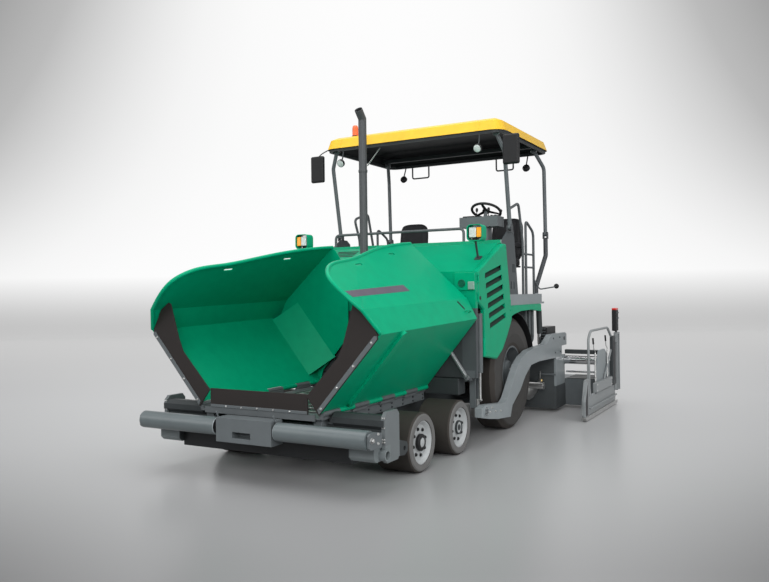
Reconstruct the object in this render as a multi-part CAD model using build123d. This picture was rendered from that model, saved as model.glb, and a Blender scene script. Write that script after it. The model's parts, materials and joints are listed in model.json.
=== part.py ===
from build123d import *
import os
from math import cos, hypot, pi, radians, sin, tan

# Wheeled asphalt paver with folding hopper wings and an extending screed.
# Millimetres, +Z up, front of the machine towards -Y, +X is the machine's left side.
# Stations along Y are measured from the push-roller axis while the model is built. save() then
# moves every piece so that the origin is the bottom centre of the whole machine's box.

# ---------------------------------------------------------------- driving dimensions
FIT = 0.5                    # running clearance of pins and shafts, on the radius
SEAT = 0.3                   # gap left between two pieces that rest against each other
CLEAR = 6.0                  # least gap between pieces that pass each other

# push bar
ROLLER_R = 80.0
ROLLER_IN = 338.0
ROLLER_OUT = 1244.0
ROLLER_Z = 500.0
ROLLER_PIN_R = 20.0
BAR_Y0 = 88.0
BAR_Y1 = 160.0
BAR_Z0 = 420.0
BAR_Z1 = 540.0
BAR_END_X = 1262.0
CHEEK_T = 20.0
HOOK_X0 = -125.0
HOOK_X1 = 80.0
HOOK_Z0 = 417.0
HOOK_Z1 = 472.0
BAR_PIVOT_Y = 215.0
BAR_PIVOT_R = 30.0

# front bumper
GUARD_Y = 300.0
GUARD_Z = 596.0
GUARD_IN = 735.0
PLATE_X = 1250.0
PLATE_T = 35.0
LOWER_BEAM_X = 951.0
BEAM_Y0 = 270.0
BLOCK_TUBE = (265.0, 330.0)
BLOCK_TUBE_R = 48.0
BLOCK_TUBE_WALL = 12.0
TOW_EYE = (602.0, 330.0)
TOW_EYE_R = 22.0

# wheels
FRONT_R = 280.0
FRONT_W = 390.0
FRONT_RIM_R = 204.0
FRONT_OUT = 1173.0
FRONT_Y = (1107.0, 1974.0)
KINGPIN_X = 700.0
KINGPIN_R = 24.0
STUB_R = 42.0
AXLE_TOP = 340.0
REAR_R = 676.0
REAR_W = 375.0
REAR_RIM_R = 330.0
REAR_OUT = 1172.0
REAR_Y = 3620.0
DRIVE_R = 175.0

# chassis
CHASSIS_X = 565.0
CHASSIS_T = 25.0
CHASSIS_FRONT_Y = 330.0
CHASSIS_REAR_Y = 4640.0
CHASSIS_LOW = 345.0
CHASSIS_DECK = 598.0
CHASSIS_TOP = 1480.0
TUNNEL_TOP = 915.0
BULKHEAD_Y = 2235.0
BULKHEAD_T = 12.0
BULKHEAD_X = 1250.0
BULKHEAD_LOW = 760.0
BULKHEAD_TOP = 1880.0

# hopper
HINGE_X = 690.0
HINGE_Z = 650.0
HINGE_R = 24.0
HINGE_PIN_R = 11.0
HINGE_KNUCKLES = 8
HOPPER_FRONT_Y = 140.0
HOPPER_REAR_Y = 2190.0
FLOOR_Z = CHASSIS_DECK + SEAT
FLOOR_T = 12.0
WING_T = 12.0
RIDGE_X = 1287.0
RIDGE_Z_FRONT = 1340.0
RIDGE_Z_REAR = 1394.0
FACET_X = 1178.0
FACET_RISE = 212.0
WING_SLOPE = 47.5            # lean of the upper panel, degrees from vertical
WING_REAR_Z = 2215.0
RIM_R = 19.0
RIM_FRONT_Y = 35.0
RIM_SIDE = ((-16, 1700), (0, 1815), (120, 1900), (500, 1972), (1150, 2088))
RIM_SLOTS = (660.0, 1490.0)
SLOT_L = 130.0
SLOT_W = 26.0
SLOT_DROP = 62.0
DEFLECTOR_RISE = 330.0
DEFLECTOR_REACH = 170.0
WING_RIB_Y = 545.0
WING_RIB_W = 84.0
WING_RIB_H = 34.0
FLAP_T = 12.0

# conveyor
LANE_IN = 45.0
LANE_OUT = 520.0
CHAIN_Z = 520.0
CHAIN_R = 74.0
CHAIN_T = 20.0
CHAIN_W = 26.0
CONVEYOR_FRONT_Y = 520.0
CONVEYOR_REAR_Y = 4480.0
SLAT_PITCH = 200.0

# engine bay
BONNET_X = 1188.0
BONNET_T = 8.0
BONNET_FRONT_Y = 2310.0
BONNET_FRONT_Z = 1897.0
BONNET_REAR_Y = 3199.7
BONNET_SHOULDER_Y = 3070.0
BONNET_TOP_Z = 2235.0
DOOR_X = 1250.0
DOOR_T = 46.0
DOOR_HINGE_X = 1256.0
DOOR_HINGE_Y = 2301.0
DOOR_HINGE_Z = (1590.0, 1790.0)
LOUVRES = 6
LOUVRE_PITCH = 110.0
LOUVRE_H = 60.0
STACK_X = -440.0
STACK_Y = 2780.0
STACK_R = 50.0
STACK_TOP = 3900.0

# platform
DECK_X = 1185.0
DECK_Z0 = 1500.0
DECK_Z1 = 1630.0
DECK_FRONT_Y = 3200.0
DECK_REAR_Y = 4700.0
COWL_Z = 2280.0
TUBE_R = 17.0
POST_R = 30.0
CANOPY_X = 1244.0
CANOPY_FRONT_Y = 3113.0
CANOPY_REAR_Y = 4957.0
CANOPY_Z = 3565.0
CANOPY_H = 130.0
FRONT_POST_Y = 3450.0
REAR_POST_Y = 4850.0
POST_FOOT_Z = 2440.0
POST_LEAN = -200.0           # how far the top pin stands in front of the foot pin
POST_RISE = CANOPY_Z - 20.0 - POST_FOOT_Z
POST_PIN_R = 12.0
POST_X = 1200.0
POST_TOP_X = 1120.0
HOOP_X = 1110.0
STEER_CENTRE = Vector(900, 3452, 2652)
STEER_AXIS = Vector(0, 0.447, 0.894)

# hopper and screed cylinders
WING_CYL_Y = 2208.0
WING_FOOT = (1150.0, 765.0)
WING_EYE = (750.0, 1350.0)
WING_BARREL = 375.0
LIFT_X = 1120.0
LIFT_PIN_X = 1163.0
LIFT_BARREL = 370.0
LIFT_HEAD = (4760.0, 1460.0)
LIFT_EYE = (4820.0, 800.0)

# tow arms and screed
ARM_OUT = 1275.0
ARM_IN = 1195.0
TOW_Y = 2420.0
TOW_Z = 385.0
TOW_PIN_R = 32.0
TOW_CYL_X = 1212.0
ARM_REAR = (5300.0, 742.0)
ARM_BEND = (4277.0, 763.0)
SCREED_X = 1275.0
SCREED_FRONT_Y = 5005.0
SCREED_REAR_Y = 5450.0
SCREED_Z0 = 45.0
SCREED_Z1 = 360.0
EXT_OUT = 1790.0
GUIDE_TUBE_R = 60.0
TUBE_Y = 5425.0
TUBE_Z = 690.0
TUBE_IN = 540.0
SLEEVE_IN = 560.0
EXT_REAR_Y = 5960.0
GATE_T = 25.0
GATE_X = 1800.0
GATE_FRONT_Y = 4350.0
GATE_REAR_Y = 6350.0
AUGER_R = 200.0
AUGER_Y = 4760.0
AUGER_Z = 385.0
AUGER_IN = 8.0
AUGER_CASE_X = 60.0
AUGER_OUT = 1180.0
AUGER_PITCH = 320.0
AUGER_SHAFT_R = 45.0

MID_Y = (GATE_REAR_Y - ROLLER_R) / 2.0


# ---------------------------------------------------------------- shape helpers
def box(x0, x1, y0, y1, z0, z1):
    """A block between two opposite corners."""
    centre = Pos((x0 + x1) / 2.0, (y0 + y1) / 2.0, (z0 + z1) / 2.0)
    return centre * Box(abs(x1 - x0), abs(y1 - y0), abs(z1 - z0))


def rod(start, end, radius):
    """A round bar between two points."""
    start, end = Vector(*start), Vector(*end)
    along = end - start
    plane = Plane(origin=start, z_dir=along)
    return plane * Cylinder(radius, along.length, align=(Align.CENTER, Align.CENTER, Align.MIN))


def bar_x(x0, x1, y, z, radius):
    return rod((x0, y, z), (x1, y, z), radius)


def prism(points, axis, start, end):
    """A straight extrusion of an outline; axis X takes (y, z) points, Y (x, z) and Z (x, y)."""
    spread = {
        "x": lambda a, b: (start, a, b),
        "y": lambda a, b: (a, start, b),
        "z": lambda a, b: (a, b, start),
    }[axis]
    way = {"x": (1, 0, 0), "y": (0, 1, 0), "z": (0, 0, 1)}[axis]
    face = Face(Wire.make_polygon([spread(a, b) for a, b in points], close=True))
    return Solid.extrude(face, Vector(*way) * (end - start))


def ring_x(x0, x1, y, z, outer, inner):
    """A tube along X."""
    return bar_x(x0, x1, y, z, outer) - bar_x(x0 - 1, x1 + 1, y, z, inner)


def spun_x(profile, y, z):
    """A solid turned about the X-wise axis at (y, z) from (x, radius) points."""
    face = Face(Wire.make_polygon([(x, y, z + r) for x, r in profile], close=True))
    return revolve(face, axis=Axis((0, y, z), (1, 0, 0)), revolution_arc=360)


def pipe(points, bend, radius):
    """A round tube along straight runs joined by arcs of one bend radius."""
    path = FilletPolyline(*points, radius=bend)
    start = Plane(origin=path @ 0, z_dir=path % 0)
    return sweep(start * Circle(radius), path=path)


def mirrored(shape):
    return mirror(shape, about=Plane.YZ)


def fuse(pieces):
    whole = pieces[0]
    for piece in pieces[1:]:
        whole = whole + piece
    return whole


def save(name, *pieces):
    """Write one named piece, or several like pieces of one body, in the machine's frame."""
    solids = [solid for piece in pieces for solid in piece.solids()]
    shape = solids[0] if len(solids) == 1 else Compound(solids)
    export_step(Pos(0, -MID_Y, 0) * shape, "parts/" + name + ".step")


SIDES = (("left", 1), ("right", -1))


def sided(shape, side):
    return shape if side > 0 else mirrored(shape)


# ---------------------------------------------------------------- chassis
def chassis_frame():
    back = BULKHEAD_Y + BULKHEAD_T + 8
    outline = [
        (CHASSIS_FRONT_Y, 400), (CHASSIS_FRONT_Y, CHASSIS_DECK), (back, CHASSIS_DECK), (back, CHASSIS_TOP),
        (CHASSIS_REAR_Y, CHASSIS_TOP), (CHASSIS_REAR_Y, 560), (4200, CHASSIS_LOW), (700, CHASSIS_LOW),
    ]
    plate = prism(outline, "x", CHASSIS_X - CHASSIS_T, CHASSIS_X)
    pieces = [plate, mirrored(plate)]
    for y in (1250, 2100, 2900, 3900):
        pieces.append(box(-CHASSIS_X, CHASSIS_X, y, y + 80, CHASSIS_LOW, CHASSIS_LOW + 60))
    pieces.append(box(-CHASSIS_X, CHASSIS_X, CHASSIS_FRONT_Y, CHASSIS_FRONT_Y + 80, 400, 560))
    pieces.append(box(-CHASSIS_X, CHASSIS_X, back, CHASSIS_REAR_Y, TUNNEL_TOP - 15, TUNNEL_TOP))
    pieces.append(box(-28, 28, back, CHASSIS_REAR_Y, 560, TUNNEL_TOP))
    pieces.append(box(-CHASSIS_X, CHASSIS_X, 620, 4380, 564, 576))
    pieces.append(box(-CHASSIS_X, CHASSIS_X, CHASSIS_REAR_Y - 20, CHASSIS_REAR_Y, TUNNEL_TOP - 15, CHASSIS_TOP))
    pieces.append(box(-CHASSIS_X, CHASSIS_X, back, back + 20, TUNNEL_TOP - 15, CHASSIS_TOP))
    for y in (CONVEYOR_FRONT_Y, CONVEYOR_REAR_Y):
        pieces.append(bar_x(-CHASSIS_X, CHASSIS_X, y, CHAIN_Z, CHAIN_R - CHAIN_T / 2 - SEAT))
    pieces.append(box(-28, 28, CHASSIS_FRONT_Y + 70, BULKHEAD_Y - CLEAR, 560, 606))
    for y in FRONT_Y:
        pieces.append(box(-CHASSIS_X, CHASSIS_X, y - 45, y + 45, AXLE_TOP + SEAT, CHASSIS_LOW + 60))
    pieces.append(box(-AUGER_CASE_X, AUGER_CASE_X, CHASSIS_REAR_Y - 10, AUGER_Y + 90, 290, 760))
    pieces += bumper()
    frame = fuse(pieces)
    return frame - bar_x(-AUGER_CASE_X, AUGER_CASE_X, AUGER_Y, AUGER_Z, AUGER_SHAFT_R + FIT)


def bumper():
    """Front cross beams with their end blocks, guards and tow eyes, and the push bar's pivot ears."""
    back = CHASSIS_FRONT_Y + 1
    pieces = [
        box(-PLATE_X + 5, PLATE_X - 5, BEAM_Y0, back, 430, 540),
        box(-LOWER_BEAM_X, LOWER_BEAM_X, 205, back, 240, BAR_Z0 - 12),
    ]
    tube_y, tube_z = BLOCK_TUBE
    for side in (1, -1):
        section = [(-64, -26), (-64, 26), (-26, 62), (26, 62), (64, 26), (64, -26), (26, -62), (-26, -62)]
        guard = Pos(0, GUARD_Y, GUARD_Z) * prism(section, "x", GUARD_IN, PLATE_X - 5)
        plate = prism([(250, 300), (285, 262), (470, 262), (500, 300), (500, 650), (465, 690), (290, 690), (250, 650)],
                      "x", PLATE_X - PLATE_T, PLATE_X)
        eye = prism([(465, 285), (600, 268), (655, 295), (668, 340), (645, 380), (585, 398), (465, 430)],
                    "x", PLATE_X - PLATE_T + 5, PLATE_X - 5)
        eye = eye - bar_x(PLATE_X - PLATE_T, PLATE_X, TOW_EYE[0], TOW_EYE[1], TOW_EYE_R)
        block = prism([(150, 312), (182, 280), (300, 280), (back, 300), (back, BAR_Z0 - 15), (150, BAR_Z0 - 15)],
                      "x", LOWER_BEAM_X - 1, PLATE_X - 50)
        stay = box(CHASSIS_X - 60, CHASSIS_X, BEAM_Y0, back, 300, 480)
        tube = bar_x(LOWER_BEAM_X + 14, PLATE_X + 15, tube_y, tube_z, BLOCK_TUBE_R)
        bore = bar_x(LOWER_BEAM_X + 13, PLATE_X + 16, tube_y, tube_z, BLOCK_TUBE_R - BLOCK_TUBE_WALL)
        pieces.append(sided(fuse([guard, plate, eye, block, tube]) - bore, side))
        pieces.append(sided(stay, side))
    pivot = box(-90, 90, BAR_PIVOT_Y - 38, BEAM_Y0 + 10, 425, 455)
    pivot = pivot + box(-90, 90, BAR_PIVOT_Y - 38, BEAM_Y0 + 10, 520, 550)
    pivot = pivot - Pos(0, BAR_PIVOT_Y, 480) * Cylinder(BAR_PIVOT_R + FIT, 300)
    return pieces + [pivot]


def front_axles():
    beams = []
    for y in FRONT_Y:
        beam = box(-KINGPIN_X + 62, KINGPIN_X - 62, y - 55, y + 55, 215, AXLE_TOP)
        for side in (1, -1):
            ears = box(KINGPIN_X - 90, KINGPIN_X + 45, y - 50, y + 50, 355, 385)
            ears = ears + box(KINGPIN_X - 90, KINGPIN_X + 45, y - 50, y + 50, 175, 205)
            ears = ears + box(KINGPIN_X - 90, KINGPIN_X - 62, y - 50, y + 50, 175, 385)
            ears = ears - Pos(KINGPIN_X, y, 280) * Cylinder(KINGPIN_R + FIT, 300)
            beam = beam + sided(ears, side)
        beams.append(beam)
    return beams


def knuckle(y):
    body = Pos(KINGPIN_X, y, 280) * Cylinder(48, 136)
    pin = Pos(KINGPIN_X, y, 280) * Cylinder(KINGPIN_R, 216)
    stub = bar_x(KINGPIN_X, 1060, y, FRONT_R, STUB_R)
    arm = box(KINGPIN_X - 15, KINGPIN_X + 15, y + 30, y + 170, 265, 295)
    return fuse([body, pin, stub, arm])


def front_tyre(y):
    inner = FRONT_OUT - FRONT_W
    profile = [
        (inner, FRONT_RIM_R), (inner, FRONT_R - 25), (inner + 22, FRONT_R), (FRONT_OUT - 22, FRONT_R),
        (FRONT_OUT, FRONT_R - 25), (FRONT_OUT, FRONT_RIM_R),
    ]
    return spun_x(profile, y, FRONT_R)


def front_rim(y):
    inner = FRONT_OUT - FRONT_W
    profile = [
        (inner + 8, FRONT_RIM_R - SEAT), (inner + 8, FRONT_RIM_R - 24), (FRONT_OUT - 70, FRONT_RIM_R - 24),
        (FRONT_OUT - 70, 95), (inner + 90, 80), (inner + 90, STUB_R + FIT), (1062, STUB_R + FIT),
        (1062, 0), (FRONT_OUT - 18, 0), (FRONT_OUT - 18, 62), (FRONT_OUT - 45, 75), (FRONT_OUT - 45, 165),
        (FRONT_OUT - 12, FRONT_RIM_R - 12), (FRONT_OUT - 12, FRONT_RIM_R - SEAT),
    ]
    return spun_x(profile, y, FRONT_R)


def rear_tyre():
    inner = REAR_OUT - REAR_W
    profile = [
        (inner + 30, REAR_RIM_R), (inner, REAR_RIM_R + 150), (inner + 12, REAR_R - 60), (inner + 60, REAR_R),
        (REAR_OUT - 60, REAR_R), (REAR_OUT - 12, REAR_R - 60), (REAR_OUT, REAR_RIM_R + 150),
        (REAR_OUT - 30, REAR_RIM_R),
    ]
    return spun_x(profile, REAR_Y, REAR_R)


def rear_rim():
    inner = REAR_OUT - REAR_W
    profile = [
        (inner + 30, REAR_RIM_R - SEAT), (inner + 30, REAR_RIM_R - 25), (REAR_OUT - 190, REAR_RIM_R - 40),
        (REAR_OUT - 190, DRIVE_R + 5), (REAR_OUT - 230, DRIVE_R + 5), (REAR_OUT - 230, 0),
        (REAR_OUT - 40, 0), (REAR_OUT - 40, 95), (REAR_OUT - 80, 150), (REAR_OUT - 150, 165),
        (REAR_OUT - 165, REAR_RIM_R - 55), (REAR_OUT - 30, REAR_RIM_R - 20), (REAR_OUT - 30, REAR_RIM_R - SEAT),
    ]
    return spun_x(profile, REAR_Y, REAR_R)


def rear_drive():
    flange = bar_x(CHASSIS_X + SEAT, CHASSIS_X + 40, REAR_Y, REAR_R, DRIVE_R + 40)
    body = bar_x(CHASSIS_X + 30, REAR_OUT - 230 - SEAT, REAR_Y, REAR_R, DRIVE_R)
    return flange + body


# ---------------------------------------------------------------- push bar
def push_bar():
    """Beam behind the rollers with its end cheeks, the slotted middle block and the pivot pin."""
    beam = box(-BAR_END_X, BAR_END_X, BAR_Y0, BAR_Y1, BAR_Z0, BAR_Z1)
    centre = box(-ROLLER_IN + 30, ROLLER_IN - 30, -60, BAR_Y0 + 12, 376, 590)
    centre = centre - box(HOOK_X0, HOOK_X1, -61, 40, HOOK_Z0, HOOK_Z1)
    lug = box(-80, 80, BAR_Y0 + 7, BAR_PIVOT_Y + 38, 460, 515)
    pin = Pos(0, BAR_PIVOT_Y, 487.5) * Cylinder(BAR_PIVOT_R, 130)
    bar = fuse([beam, centre, lug, pin])
    inner = ROLLER_OUT + CLEAR
    for side in (1, -1):
        cheek = prism([(-48, 445), (-20, 425), (60, BAR_Z0), (BAR_Y1, BAR_Z0), (BAR_Y1, BAR_Z1), (60, 560), (-25, 560), (-48, 540)],
                      "x", inner, inner + CHEEK_T)
        bar = bar + sided(cheek, side)
    for side in (1, -1):
        hole = bar_x(ROLLER_IN - 65, inner + CHEEK_T + 1, 0, ROLLER_Z, ROLLER_PIN_R + FIT)
        bar = bar - sided(hole, side)
    return bar


def push_roller():
    drum = bar_x(ROLLER_IN, ROLLER_OUT, 0, ROLLER_Z, ROLLER_R)
    pin = bar_x(ROLLER_IN - 50, ROLLER_OUT + CLEAR + CHEEK_T, 0, ROLLER_Z, ROLLER_PIN_R)
    return drum + pin


# ---------------------------------------------------------------- hopper
def hinge_knuckle(index):
    """Start and end of one knuckle along the wing's hinge line."""
    step = (HOPPER_REAR_Y - HOPPER_FRONT_Y - 40.0) / HINGE_KNUCKLES
    start = HOPPER_FRONT_Y + 20 + index * step
    return start + 1.0, start + step - 1.0


def hopper_base():
    """Fixed floor strips with their hinge halves, the front sill and the bulkhead behind the wings."""
    strip = box(CHASSIS_X - 40, HINGE_X - HINGE_R - 4, HOPPER_FRONT_Y + 15, BULKHEAD_Y + 1, FLOOR_Z, FLOOR_Z + FLOOR_T)
    pieces = [strip]
    for index in range(0, HINGE_KNUCKLES, 2):
        y0, y1 = hinge_knuckle(index)
        pieces.append(rod((HINGE_X, y0, HINGE_Z), (HINGE_X, y1, HINGE_Z), HINGE_R))
        pieces.append(box(HINGE_X - HINGE_R - 10, HINGE_X, y0, y1, FLOOR_Z, HINGE_Z - 10))
    y_last = hinge_knuckle(HINGE_KNUCKLES - 1)[1]
    pieces.append(rod((HINGE_X, HOPPER_FRONT_Y + 21, HINGE_Z), (HINGE_X, y_last, HINGE_Z), HINGE_PIN_R))
    side = fuse(pieces)
    sill = box(-CHASSIS_X, CHASSIS_X, HOPPER_FRONT_Y + 15, CHASSIS_FRONT_Y + 60, FLOOR_Z, FLOOR_Z + FLOOR_T)
    strip = box(-620, 620, HOPPER_FRONT_Y + 1, HOPPER_FRONT_Y + 16, 585, 640 - SEAT)
    return fuse([side, mirrored(side), sill, strip] + bulkhead())


def ridge_z(y):
    """Height of the wing's outer ridge at a station."""
    share = (y - HOPPER_FRONT_Y) / (HOPPER_REAR_Y - HOPPER_FRONT_Y)
    return RIDGE_Z_FRONT + share * (RIDGE_Z_REAR - RIDGE_Z_FRONT)


def upper_x(y, z):
    """Where the outer face of the wing's upper panel stands at a station and height."""
    return FACET_X - (z - ridge_z(y) - FACET_RISE) * tan(radians(WING_SLOPE))


def upper_normal():
    """Outward direction of the wing's upper panel."""
    climb = (RIDGE_Z_REAR - RIDGE_Z_FRONT) / (HOPPER_REAR_Y - HOPPER_FRONT_Y)
    lean = tan(radians(WING_SLOPE))
    return Vector(1, -climb * lean, lean).normalized()


def facet_normal():
    """Outward direction of the narrow facet between the wing's two panels."""
    climb = Vector(0, HOPPER_REAR_Y - HOPPER_FRONT_Y, RIDGE_Z_REAR - RIDGE_Z_FRONT)
    rise = Vector(FACET_X - RIDGE_X, 0, FACET_RISE)
    return climb.cross(rise).normalized()


def rim_points(rear):
    """The wing's free edge behind the facet, as (y, z) points up to the rear plate."""
    return [(RIM_FRONT_Y, ridge_z(RIM_FRONT_Y) + FACET_RISE), *RIM_SIDE, (rear, WING_REAR_Z)]


def add_rim(sheet, rear):
    """Roll a bead onto the free edge: a straight run over the facet, then a curve along the upper panel."""
    sink = upper_normal() * (-WING_T / 2)
    points = [Vector(upper_x(y, z), y, z) + sink for y, z in rim_points(rear)]
    foot = Vector(RIDGE_X, HOPPER_FRONT_Y, ridge_z(HOPPER_FRONT_Y) + RIM_R) + sink
    curve = Spline(*points)
    sheet = sheet + sweep(Plane(origin=curve @ 0, z_dir=curve % 0) * Circle(RIM_R), path=curve)
    sheet = sheet + rod(foot, points[0], RIM_R)
    return sheet + Pos(*points[0]) * Sphere(RIM_R + 1)


def panel_plane(y):
    """Plane on the lower panel's outer face: x runs to the rear, y up the panel, z out of it."""
    run = Vector(RIDGE_X - HINGE_X, 0, ridge_z(y) - HINGE_Z - 8).normalized()
    rearwards = Vector(0, 1, 0)
    return Plane(origin=(HINGE_X, y, HINGE_Z + 8), x_dir=rearwards, z_dir=rearwards.cross(run))


def wing_sheet(rear):
    """Lower panel, facet and upper panel up to the free edge."""
    ends = []
    for y in (HOPPER_FRONT_Y, rear):
        low = Vector(HINGE_X, y, HINGE_Z + 8)
        ridge = Vector(RIDGE_X, y, ridge_z(y))
        inward = (ridge - low).cross(Vector(0, 1, 0)).normalized() * WING_T
        ends.append(Wire.make_polygon([low, ridge, ridge + inward, low + inward], close=True))
    sheet = Solid.make_loft(ends, ruled=True)
    rim = [Vector(upper_x(y, z), y, z) for y, z in rim_points(rear)]
    corner = Vector(FACET_X, rear, ridge_z(rear) + FACET_RISE)
    facet = [
        (RIDGE_X, HOPPER_FRONT_Y, ridge_z(HOPPER_FRONT_Y)), (RIDGE_X, rear, ridge_z(rear)), corner, rim[0],
    ]
    sheet = sheet + Solid.extrude(Face(Wire.make_polygon(facet, close=True)), facet_normal() * -WING_T)
    edges = [Edge.make_spline(rim), Edge.make_line(rim[-1], corner), Edge.make_line(corner, rim[0])]
    return sheet + Solid.extrude(Face(Wire(edges)), upper_normal() * -WING_T)


def wing_end(rear):
    """Rear plate of the wing, from the hinge over the ridge to the free edge."""
    top = upper_x(rear, WING_REAR_Z)
    outline = [
        (HINGE_X, HINGE_Z + 8), (RIDGE_X, ridge_z(rear)), (FACET_X, ridge_z(rear) + FACET_RISE),
        (top, WING_REAR_Z), (top - 50, WING_REAR_Z - 45), (300, 1930), (300, 1180), (560, 885),
        (HINGE_X - 40, 790),
    ]
    return prism(outline, "y", rear - WING_T, rear)


def wing():
    rear = HOPPER_REAR_Y - 12.0
    length = hypot(RIDGE_X - HINGE_X, ridge_z(rear) - HINGE_Z - 8)
    whole = add_rim(wing_sheet(rear), rear)
    whole = fuse([whole, wing_end(rear), wing_deflector(rear, length), wing_rib(length)])
    whole = whole + rod((WING_EYE[0], rear - 2, WING_EYE[1]), (WING_EYE[0], rear + 3, WING_EYE[1]), 22)
    for index in range(1, HINGE_KNUCKLES, 2):
        y0, y1 = hinge_knuckle(index)
        whole = whole + rod((HINGE_X, y0, HINGE_Z), (HINGE_X, y1, HINGE_Z), HINGE_R)
    whole = whole - rod((HINGE_X, HOPPER_FRONT_Y, HINGE_Z), (HINGE_X, HOPPER_REAR_Y, HINGE_Z), HINGE_PIN_R + FIT)
    for index in range(0, HINGE_KNUCKLES, 2):
        y0, y1 = hinge_knuckle(index)
        whole = whole - rod((HINGE_X, y0 - 1.5, HINGE_Z), (HINGE_X, y1 + 1.5, HINGE_Z), HINGE_R + 3)
    for y in RIM_SLOTS:
        whole = whole - rim_slot(y)
    return whole


def rim_height(y):
    """Height of the wing's free edge at a station, between the points that set it."""
    points = rim_points(HOPPER_REAR_Y)
    for (y0, z0), (y1, z1) in zip(points, points[1:]):
        if y0 <= y <= y1:
            return z0 + (z1 - z0) * (y - y0) / (y1 - y0)
    return WING_REAR_Z


def rim_slot(y):
    """Lashing slot through the upper panel just under its bead."""
    z = rim_height(y) - SLOT_DROP
    out = upper_normal()
    along = Vector(0, 1, 0.15)
    along = (along - out * along.dot(out)).normalized()
    plane = Plane(origin=(upper_x(y, z), y, z), x_dir=along, z_dir=out)
    return extrude(plane * SlotOverall(SLOT_L, SLOT_W), amount=40, both=True)


def wing_deflector(rear, length):
    """Slanting plate that closes the corner between the lower panel and the rear plate."""
    plane = panel_plane(rear)
    run = plane.y_dir
    inward = plane.z_dir * -1
    base = plane.origin + inward * WING_T + run * 90
    back = Vector(0, -WING_T / 2, 0)
    corners = [
        base + back + inward * DEFLECTOR_RISE, base + back + inward * (DEFLECTOR_RISE - WING_T * 1.5),
        base + Vector(0, -DEFLECTOR_REACH, 0) - inward * 2,
        base + Vector(0, -DEFLECTOR_REACH - WING_T, 0) - inward * 2,
    ]
    face = Face(Wire.make_polygon(corners, close=True))
    return Solid.extrude(face, run * (length - 130))


def wing_rib(length):
    """Round-ended channel that stiffens the lower panel on its outside."""
    plane = panel_plane(WING_RIB_Y)
    centre = Plane(origin=plane.origin + plane.y_dir * (length / 2) - plane.z_dir * 4, x_dir=plane.y_dir, z_dir=plane.z_dir)
    return extrude(centre * SlotOverall(length - 60, WING_RIB_W), amount=WING_RIB_H)


def wing_flap():
    outline = [
        (672, 640), (1262, 1305), (1255, 1345), (1158, 1540), (1060, 1610), (1030, 1600), (930, 1270),
        (880, 1150), (548, 800),
    ]
    return prism(outline, "y", HOPPER_FRONT_Y - FLAP_T - SEAT, HOPPER_FRONT_Y - SEAT)


def front_flap():
    return box(-550, 550, HOPPER_FRONT_Y + 1, HOPPER_FRONT_Y + 1 + FLAP_T, 640, 813)


def wing_cylinder_point(distance):
    """A point on the wing cylinder's centre line, from its foot towards its eye."""
    reach = hypot(WING_EYE[0] - WING_FOOT[0], WING_EYE[1] - WING_FOOT[1])
    share = distance / reach
    x = WING_FOOT[0] + (WING_EYE[0] - WING_FOOT[0]) * share
    return x, WING_CYL_Y, WING_FOOT[1] + (WING_EYE[1] - WING_FOOT[1]) * share


def wing_barrel():
    at = wing_cylinder_point
    foot_ring = rod((WING_FOOT[0], WING_CYL_Y - 14, WING_FOOT[1]), (WING_FOOT[0], WING_CYL_Y + 14, WING_FOOT[1]), 26)
    barrel = fuse([rod(at(26), at(WING_BARREL), 22), rod(at(0), at(34), 16), foot_ring])
    barrel = barrel - rod((WING_FOOT[0], WING_CYL_Y - 30, WING_FOOT[1]),
                          (WING_FOOT[0], WING_CYL_Y + 30, WING_FOOT[1]), 12 + FIT)
    return barrel - rod(at(42), at(WING_BARREL + 1), 13 + FIT)


def wing_rod():
    at = wing_cylinder_point
    reach = hypot(WING_EYE[0] - WING_FOOT[0], WING_EYE[1] - WING_FOOT[1])
    front = HOPPER_REAR_Y - 12 + 3 + FIT
    ring = rod((WING_EYE[0], front, WING_EYE[1]), (WING_EYE[0], WING_CYL_Y + 14, WING_EYE[1]), 24)
    return rod(at(WING_BARREL - 35), at(reach - 18), 13) + ring


def bulkhead():
    plate = box(-BULKHEAD_X, BULKHEAD_X, BULKHEAD_Y, BULKHEAD_Y + BULKHEAD_T, FLOOR_Z, BULKHEAD_TOP)
    for side in (1, -1):
        notch = box(CHASSIS_X + 60, BULKHEAD_X + 1, BULKHEAD_Y - 1, BULKHEAD_Y + 20, FLOOR_Z - 1, BULKHEAD_LOW)
        tunnel = box(30, 530, BULKHEAD_Y - 1, BULKHEAD_Y + 20, FLOOR_Z - 1, 930)
        plate = plate - sided(notch, side) - sided(tunnel, side)
    shelf = box(-BONNET_X, BONNET_X, BULKHEAD_Y, BONNET_FRONT_Y - SEAT, BULKHEAD_TOP - 15, BULKHEAD_TOP)
    pieces = [plate, shelf]
    for side in (1, -1):
        for z in DOOR_HINGE_Z:
            for low in (z - 20, z + 60):
                lug = box(BULKHEAD_X - 12, DOOR_HINGE_X, BULKHEAD_Y + 30, DOOR_HINGE_Y, low, low + 20)
                lug = lug + rod((DOOR_HINGE_X, DOOR_HINGE_Y, low), (DOOR_HINGE_X, DOOR_HINGE_Y, low + 20), 10)
                pieces.append(sided(lug, side))
            pin = rod((DOOR_HINGE_X, DOOR_HINGE_Y, z - 20), (DOOR_HINGE_X, DOOR_HINGE_Y, z + 80), 5)
            pieces.append(sided(pin, side))
        flange = box(BULKHEAD_X - 12, BULKHEAD_X, BULKHEAD_Y, BULKHEAD_Y + 55, BULKHEAD_LOW, BULKHEAD_TOP)
        ear = box(WING_FOOT[0] - 40, WING_FOOT[0] + 40, BULKHEAD_Y, BULKHEAD_Y + 30, WING_FOOT[1] - 35, BULKHEAD_LOW + 30)
        pin = rod((WING_FOOT[0], WING_CYL_Y - 26, WING_FOOT[1]), (WING_FOOT[0], BULKHEAD_Y + 5, WING_FOOT[1]), 12)
        pieces += [sided(flange, side), sided(ear, side), sided(pin, side)]
    return pieces


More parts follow.
